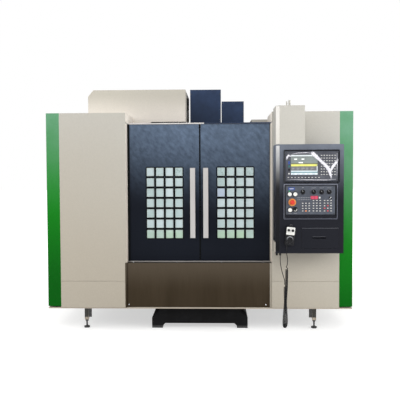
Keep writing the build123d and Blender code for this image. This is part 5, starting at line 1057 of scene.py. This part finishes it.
def digit_bars():
    # Two plain digits of bars, both showing zero.
    bars = [(bar(w, h, 0.6, 2.3, 2.8, steps=1), moved(x + dx, 1193.5 + dz))
            for x in (952, 980) for dx, dz, w, h in ((0, 8, 9, 2), (0, -8, 9, 2), (-5.5, 4, 2, 7),
                                                     (5.5, 4, 2, 7), (-5.5, -4, 2, 7), (5.5, -4, 2, 7))]
    piece("digits", joined(*bars), on_panel(), "digit_light")


def half_moon():
    moon = hollow_ring(10, 15, 8.2, 9.2)
    kept = bmesh.new()
    kept.from_mesh(moon)
    bmesh.ops.bisect_plane(kept, geom=kept.verts[:] + kept.edges[:] + kept.faces[:], plane_co=(0, 0, 0),
                           plane_no=(-0.6, 1.0, 0), clear_outer=True)
    bmesh.ops.holes_fill(kept, edges=kept.edges[:])
    kept.to_mesh(moon)
    kept.free()
    return moon


BUTTONS = {"button_start": (766, 1091), "button_hold": (809, 1095), "button_power_on": (763, 1222),
           "button_power_off": (809, 1222)}


def buttons():
    cap = turned([(16.6, -9), (16.6, 7.4), (16.12, 8.44), (15, 9), (9.96, 8.2), (3.32, 8)])
    for name, (x, z) in BUTTONS.items():
        look = "black_plastic" if name == "button_hold" else "white_plastic"
        piece(name + "_cap", cap, on_panel(x, z), look, name, replaces=name)
    piece("button_hold_moon", half_moon(), on_panel(*BUTTONS["button_hold"]), "marking_white", "button_hold")
    collars = repeated(hollow_ring(17.5, 22, 3.9, 5.4), BUTTONS.values())
    piece("button_collars", collars, on_panel(), "black_plastic")
    place = on_panel(784, 1155)
    piece("stop_plate", hollow_ring(14.5, 31.5, 2.9, 4.2, 48), place, "amber_plastic")
    head = [(13, 4.5), (13, 12), (18.6, 14), (20, 17), (19.9, 22), (18.9, 25.4), (16.5, 27.8), (12.5, 28.9),
            (6, 29)]
    piece("stop_head", turned(head, 48, True), place, "red_plastic", "stop_button", replaces="stop_button")


# The selector knobs: where they stand across the panel and how far they are turned
SELECTORS = {"selector_mode": (872, 30), "selector_feed": (961, 35), "selector_rapid": (1026, 40),
             "selector_spindle": (1088, 30)}
SELECTOR_ROW = 1240


def selectors():
    for name, (x, turn) in SELECTORS.items():
        place = on_panel(x, SELECTOR_ROW, turn)
        piece(name + "_knob", pointer_knob(19.5, 18.0, 12.0), place, "black_plastic", name, replaces=name)
        line = bar(1.8, 11, 0.6, 17.6, 18.3)
        piece(name + "_pointer", line, place @ moved(0, 10), "marking_white", name)
    marks = dial_marks("marking_silver", 13, 24.5, -45, 270, 3.4, 1.2, 3)
    marks = repeated(marks, [(x, SELECTOR_ROW, 0.2) for x, _ in SELECTORS.values()])
    piece("selector_marks", marks, on_panel(), "marking_silver")


def key_switch():
    place = on_panel(1098, 1191, -38)
    collar = turned([(12, 1), (12, 3), (10.5, 4.2), (6, 4.6)], 28)
    barrel = joined(collar, turned([(5.6, -12), (5.6, 1.2)], 20))
    piece("key_switch_barrel", barrel, place, "black_plastic", "key_switch", replaces="key_switch")
    key = joined(bar(4.4, 21, 1.6, 3, 7, 0.3), (bar(9, 6, 1.6, 3, 6, 0.5), moved(0, 6)))
    piece("key_switch_key", key, place, "bright_chrome", "key_switch")


def drawer_lip():
    # The pull cup behind the finger slot with its rolled lower lip, and the rim of the drawer's top edge.
    verts, faces = [], [(8, 9, 10, 11)]
    corners = ((-1, -1), (1, -1), (1, 1), (-1, 1))
    for inset, y in ((0, -1), (0, -14), (4, -18)):
        verts += [(x * (59.5 - inset), z * (12.5 - inset / 2), y) for x, z in corners]
    for i in (0, 4):
        faces += [(i + j, i + (j + 1) % 4, i + 4 + (j + 1) % 4, i + 4 + j) for j in range(4)]
    cup = bpy.data.meshes.new("cup")
    cup.from_pydata(verts, [], faces)
    rim = trim_frame(115, 21, 4, [(-1.5, -1), (1.5, -1), (1.5, 0.6), (0.4, 1.2), (-1.5, 0.6)])
    # The slot's lip and the drawer's top rim take a lighter paint: a painted highlight along their edges.
    for name, shape, x, z, look in (
            ("drawer_pull_cup", cup, 1007, 859, "console_paint"),
            ("drawer_slot_rim", rim, 1007, 859, "console_paint"),
            ("drawer_slot_lip", plate(104, 4, 1.6, -2, 1, 1, 2.2, 3), 1007, 868.5, "drawer_rim"),
            ("drawer_top_rim", plate(301, 5, 1.2, -0.4, 1, 1.2, 2.2), 1015.5, 939.5, "drawer_rim")):
        piece(name, shape, on_front(x, CONSOLE_FACE, z), look, "drawer")


# Doors and guard

def door_seals():
    # A rubber seal round each cut-out, so that the bars between the panes are black, and the two lips that
    # meet where the doors close.
    section = [(-1, -0.6), (8.3, -0.6), (8.3, 0.5), (7.4, 1.2), (0.4, 1.5), (-1, 0.8)]
    seals = even_field("seal_rubber", trim_frame(68, 76, 3, section, 2), PANE_COLUMNS, PANE_ROWS,
                       PANE_STEP_X, PANE_STEP_Z)
    lip = plate(5.6, 1214, 1.2, -0.5, 1, 1.2, 2)
    for side, panes, lip_x in (("left", PANES_LEFT, 4.6), ("right", PANES_RIGHT, 11.4)):
        door = "door_" + side
        piece("pane_seals_" + side, seals, on_front(panes, DOOR_FACE, PANES_MIDDLE), "seal_rubber", door)
        piece("split_lip_" + side, lip, on_front(lip_x, DOOR_FACE, DOOR_MIDDLE), "seal_rubber", door)


def jamb_seals():
    # Rubber lips behind the jambs that wipe the doors, the left one wider so that it also darkens the gap
    # beside the left door, painted shade, and the dark cover over the right half of the rail.
    lips = [(plate(width, 1226, 2, 0, 8, 2, 10.6, 3), moved(x, DOOR_MIDDLE))
            for width, x in ((23, -631.5), (16, 635))]
    piece("jamb_seals", joined(*lips), on_front(0, DOOR_FACE - 1, 0), "seal_rubber")
    cover = plate(592, 11.4, 1, -0.4, 0.8, 0.8, 1.6)
    piece("rail_cover", cover, on_front(343, 101, 1844.2), "cover_paint")


def between_jambs(name, shape, y_left, y_right, z, look):
    # The same sheet on both jambs, each facing the opening.
    both = joined((shape, on_right(-JAMB, y_left, z)), (shape, on_left(JAMB, y_right, z)))
    piece(name, both, IN_PLACE, look)


def jambs():
    # Bright sheets on the folds of the roof sheets over the ends of the upper track and on the jambs' faces:
    # painted light where these faces stand in shade.
    fold = plate(474, 79, 1.5, -0.6, 0.8, 0.6, 1.4)
    between_jambs("roof_returns", fold, 241, 241, 1891, "magazine_paint")
    face = plate(92, 1222, 2, -0.6, 0.3, 0.6, 0.8)
    between_jambs("jamb_faces", face, 49.5, 46.5, DOOR_MIDDLE, "jamb_paint")


def apron_ends():
    # The right jamb's return edge runs on beside the apron, and the apron's left end laps the panel's edge.
    strip = plate(17, 392, 2, -1, 1.8, 1.2, 3)
    piece("apron_return", strip, on_front(631.6, 20, 413), "guard_paint")
    lap, fold = plate(13, 398, 1, -0.6, 0.9, 0.3, 1.2), plate(20.6, 398, 0.5, -0.6, 0.9, 0.3, 1.2)
    piece("apron_lap", joined((lap, on_front(-646, 0, 415)), (fold, on_right(-JAMB, 9.2, 415))), IN_PLACE,
          "stainless")


def both_sides(name, shapes, y, look):
    # The same shapes left and right of the middle; each is a shape, its x, its z and its height.
    parts = [(shape, moved(side * x, z, height)) for shape, x, z, height in shapes for side in (-1, 1)]
    piece(name, joined(*parts), on_front(0, y, 0), look)


def shade_plates_and_edge_strips():
    # Dark plates with bolts beside the front legs, painted shade on the legs' shaded flanges, the legs'
    # faces, the strips behind the panels' seams, so that the gap shows paint and no hollow, and pale strips
    # beside the green trims, a painted highlight.
    bolt = turned([(8, 0), (8, 5), (6.6, 6)], 6)
    both_sides("leg_braces", [(plate(29, 107, 2, -0.4, 0.8, 0.6, 1.4), 999.5, 151.5, 0),
                              (bolt, 999.5, 186, 1.2)], 144, "blackened_steel")
    both_sides("leg_faces", [(plate(34, 108, 2, -0.4, 0.4, 0.5, 0.8), 1032, 151.5, 0)], 140, "leg_paint")
    both_sides("seam_backing", [(bar(578, 26, 1, -1, 0, steps=1), 932.5, 450, 0)], 3.4, "guard_paint")
    both_sides("stripe_beads", [(plate(3.6, 1700, 1.2, -1, 0.2, 0.8, 0.9), 1225.6, 1081, 0)], 1, "stripe_highlight_paint")


# Rear and inside

def rear_splash():
    # Lapped sheets that close the chamber's rear wall beside the column, each folded back to the column
    # along its inner edge. The left one ends below the beam.
    parts, screws = [], []
    for side, top in ((-1, 1692), (1, 1864)):
        edge = [(264, top), (264, 1147), (444, 718)]
        sheet = [(444, 492), (470, 492), (470, top)] + edge
        fold = [(444, 492), (447, 492), (447, 719), (267, 1148), (267, top)] + edge
        for outline, low, high in ((sheet, 0.0, 3.0), (fold, -33.0, 0.5)):
            corners = [(side * x, z) for x, z in outline[::side]]
            parts.append((skin([[(x, z, level) for x, z in corners] for level in (low, high)]),
                          on_front(0, 1366, 0)))
        screws += [on_front(side * 462, 1363, 540 + i * 190) for i in range(7)]
    piece("rear_splash", joined(*parts), IN_PLACE, "liner_steel")
    fixed_at("splash_screws", screw_head(), screws, "bright_chrome")


def in_row(first, step, count, row):
    return [on_rear(first + i * step, 2020, DEVICE_ROWS[row]) for i in range(count)]


def cabinet_devices():
    # What stands in the cabinet and shows with its door open: terminals, drives, contactors and breakers on
    # the four rows, and the wire ducts between them.
    drive = joined(plate(92, 206, 3, -1, 24, 2, 26), (plate(62, 34, 2, 25.5, 31, 1, 32), moved(0, -78)),
                   (plate(74, 88, 3, 25.5, 27.5, 1, 28.5), moved(0, 34)))
    contactor = joined(plate(44, 82, 2, -1, 18, 1.5, 20), plate(30, 32, 1.5, 19.5, 28, 1, 29))
    breaker = joined(plate(17, 82, 1.5, -1, 14, 1, 15), (plate(7.5, 14, 1, 14.5, 23, 1, 24), moved(0, 4)))
    fixed_at("cabinet_drives", drive, in_row(-262, 104, 8, 1), "grey_plastic")
    fixed_at("cabinet_contactors", contactor, in_row(-290, 50, 9, 2) + in_row(270, 50, 5, 3), "black_plastic")
    fixed_at("cabinet_breakers", breaker, in_row(-300, 18, 28, 3) + in_row(230, 18, 14, 2), "white_plastic")
    fixed_at("cabinet_terminals", breaker, in_row(-310, 10.5, 79, 0), "aluminium", 0.6)
    ducts = [(plate(960, 56, 2, -1, 78, 1.5, 80), on_rear(100, 1902, 890 + i * 330)) for i in range(3)]
    piece("wire_ducts", joined(*ducts), IN_PLACE, "wire_duct")


def coolant_fittings():
    # The pump's motor, a ribbed shell under a fan cowl with its terminal box, and the tank's screwed lid.
    profile = []
    for i in range(9):
        z = 150 + 12 * i
        profile += [(71, z), (74, z + 1), (74, z + 4), (71, z + 5)]
    profile += [(75, 262), (76.5, 264), (76.5, 318), (73, 331.5)]
    box = plate(66, 56, 5, -8, 25, 2, 27, 3)
    motor = joined((turned(profile, 48), on_top(-960, TANK_Y, TANK_TOP)), (box, on_rear(-960, 2099, 600)))
    piece("pump_motor", motor, IN_PLACE, "motor_black")
    piece("tank_lid", plate(1400, 264, 10, -1, 3, 1, 4, 3), on_top(-115, TANK_Y, TANK_TOP), "cabinet_paint")
    screws = [on_top(-795 + i * 170, TANK_Y + dy, TANK_TOP + 4) for i in range(9) for dy in (-118, 118)]
    fixed_at("tank_screws", screw_head(), screws, "bright_chrome")


# Fasteners

def screw_head():
    # A pan head with a cross recess pressed into its crown.
    head = turned([(4.6, 0), (4.6, 1.2), (4.1, 2.4), (2.9, 3.1)], 20)
    return joined(head, bar(4.4, 1.1, 0.2, 2.2, 3.16, steps=1), bar(1.1, 4.4, 0.2, 2.2, 3.16, steps=1))


def latch_head():
    # A quarter-turn latch: a round plate with a slotted drum.
    drum = turned([(13, 0), (13, 1.4), (12, 2.2), (8.4, 2.2), (8, 3.6), (7.2, 4.2)], 28)
    return joined(drum, bar(11, 2.6, 1.2, 3.6, 5.4, 0.2))


def panel_screws():
    screw, latch = screw_head(), latch_head()
    apron = [on_front(x, 20, 239, 20) for x in (-624, 588)]
    apron += [on_top(x, 70, 610) for x in (-589, -200, 200, 570)]
    fixed_at("apron_screws", screw, apron, "bright_chrome", 1.3)
    console = [on_panel(x, z, 35) for x in (737, 1152) for z in (1341, 1565)]
    console += [on_panel(x, z, 15) for x in (739, 1129) for z in (1061, 1285)]
    fixed_at("console_screws", screw, console, "blackened_steel", 0.9)
    roof, rear = [], []
    for side in (-1, 1):
        roof += [on_top(side * (700 + i * 145), 24, ROOF) for i in range(5)]
        roof += [on_top(side * 1326, 120 + i * 110, ROOF) for i in range(4)]
        rear += [on_rear(side * x, REAR_SHEET, 320 + i * 240) for i in range(7) for x in (500, 1280)]
    fixed_at("roof_screws", screw, roof, "bright_chrome")
    fixed_at("rear_screws", screw, rear, "bright_chrome")
    latches = [place(x, y, z) for place, x in ((on_right, SERVICE_PANEL), (on_left, -SERVICE_PANEL))
               for y in (582, 858, 1022, 1298) for z in (730, 1270)]
    fixed_at("service_latches", latch, latches, "black_plastic")
    covers = [on_front(x, 690, z) for x in (191, -95) for z in (1930, 2180)]
    covers += [on_front(x, 720, z) for x in (216, 416) for z in (1962, 2092)]
    fixed_at("cover_screws", screw, covers, "blackened_steel", 1.1, "head")
    doors = [on_rear(-430, 2170, z) for z in (620, 1200, 1780)]
    fixed_at("cabinet_latches", latch, doors, "black_plastic", 1.4, "cabinet_door")


# Stage and light

def seen_rays(tree):
    # 1 where the camera sees a thing, straight, mirrored or through glass, and 0 for the light it gives.
    seen = put("ShaderNodeLightPath", tree=tree)
    shown = calc("MAXIMUM", seen["Is Camera Ray"], seen["Is Glossy Ray"])
    return calc("MAXIMUM", shown, seen["Is Transmission Ray"])


def studio_floor():
    # Pale and matt near the object, where it keeps the shadow, and as bright as the backdrop further off.
    tree, shader = new_look("studio_floor")
    place = object_place(tree)
    speck = remap(noise(place, 3.0), 0.3, 0.7)
    away = put("ShaderNodeVectorMath", {0: place}, operation="LENGTH")["Value"]
    glow = remap(away, 1.9, 4.2, 0.54, 1.0, smooth=True)
    feed(shader, {"Base Color": blended(speck, (206, 206, 205), (212, 212, 211)), "Roughness": 0.9,
                  "Specular IOR Level": 0.0, "Emission Color": (255, 255, 255),
                  "Emission Strength": seen_rays(tree) * glow})


# Each lamp's name, place, aim, size and power
LAMPS = (("key", (0.2, -6.6, 4.0), (0, -0.9, 1.1), (6.0, 2.6), 128.0),
         ("left", (-4.9, -2.2, 2.0), (0, -0.8, 1.2), (1.6, 3.2), 126.0),
         ("right", (4.8, -3.2, 1.9), (0, -0.8, 1.1), (1.6, 3.2), 158.0),
         ("top", (0.0, 0.4, 5.6), (0, 0, 0.5), (4.0, 3.0), 70.0))


def stage_and_light():
    studio_floor()
    ground = bpy.data.meshes.new("floor")
    ground.from_pydata([(-60, -60, 0), (60, -60, 0), (60, 60, 0), (-60, 60, 0)], [], [(0, 1, 2, 3)])
    ground.materials.append(LOOKS["studio_floor"])
    floor = new_object("floor", ground)
    world = bpy.data.worlds.new("studio")
    bpy.context.scene.world = world
    world.use_nodes = True
    strength = remap(seen_rays(world.node_tree), 0.0, 1.0, 0.6, 1.0)
    feed(world.node_tree.nodes["Background"], {"Strength": strength, "Color": (255, 255, 255)})
    for name, spot, aim, size, power in LAMPS:
        data = bpy.data.lights.new(name, "AREA")
        data.shape = "RECTANGLE"
        data.size, data.size_y = size
        data.energy = power
        lamp = new_object(name, data)
        lamp.location = spot
        lamp.rotation_euler = (Vector(aim) - Vector(spot)).to_track_quat("-Z", "Y").to_euler()
    bpy.context.scene.view_settings.view_transform = "Standard"


camera()
handset_cord()
strain_relief()
handset()
handset_dial()
recess_trims()
bevel_sheen()
screen_picture()
key_fields()
panel_marks()
digit_bars()
buttons()
selectors()
key_switch()
film_creases()
drawer_lip()
door_seals()
jamb_seals()
jambs()
apron_ends()
shade_plates_and_edge_strips()
rear_splash()
cabinet_devices()
coolant_fittings()
panel_screws()
stage_and_light()
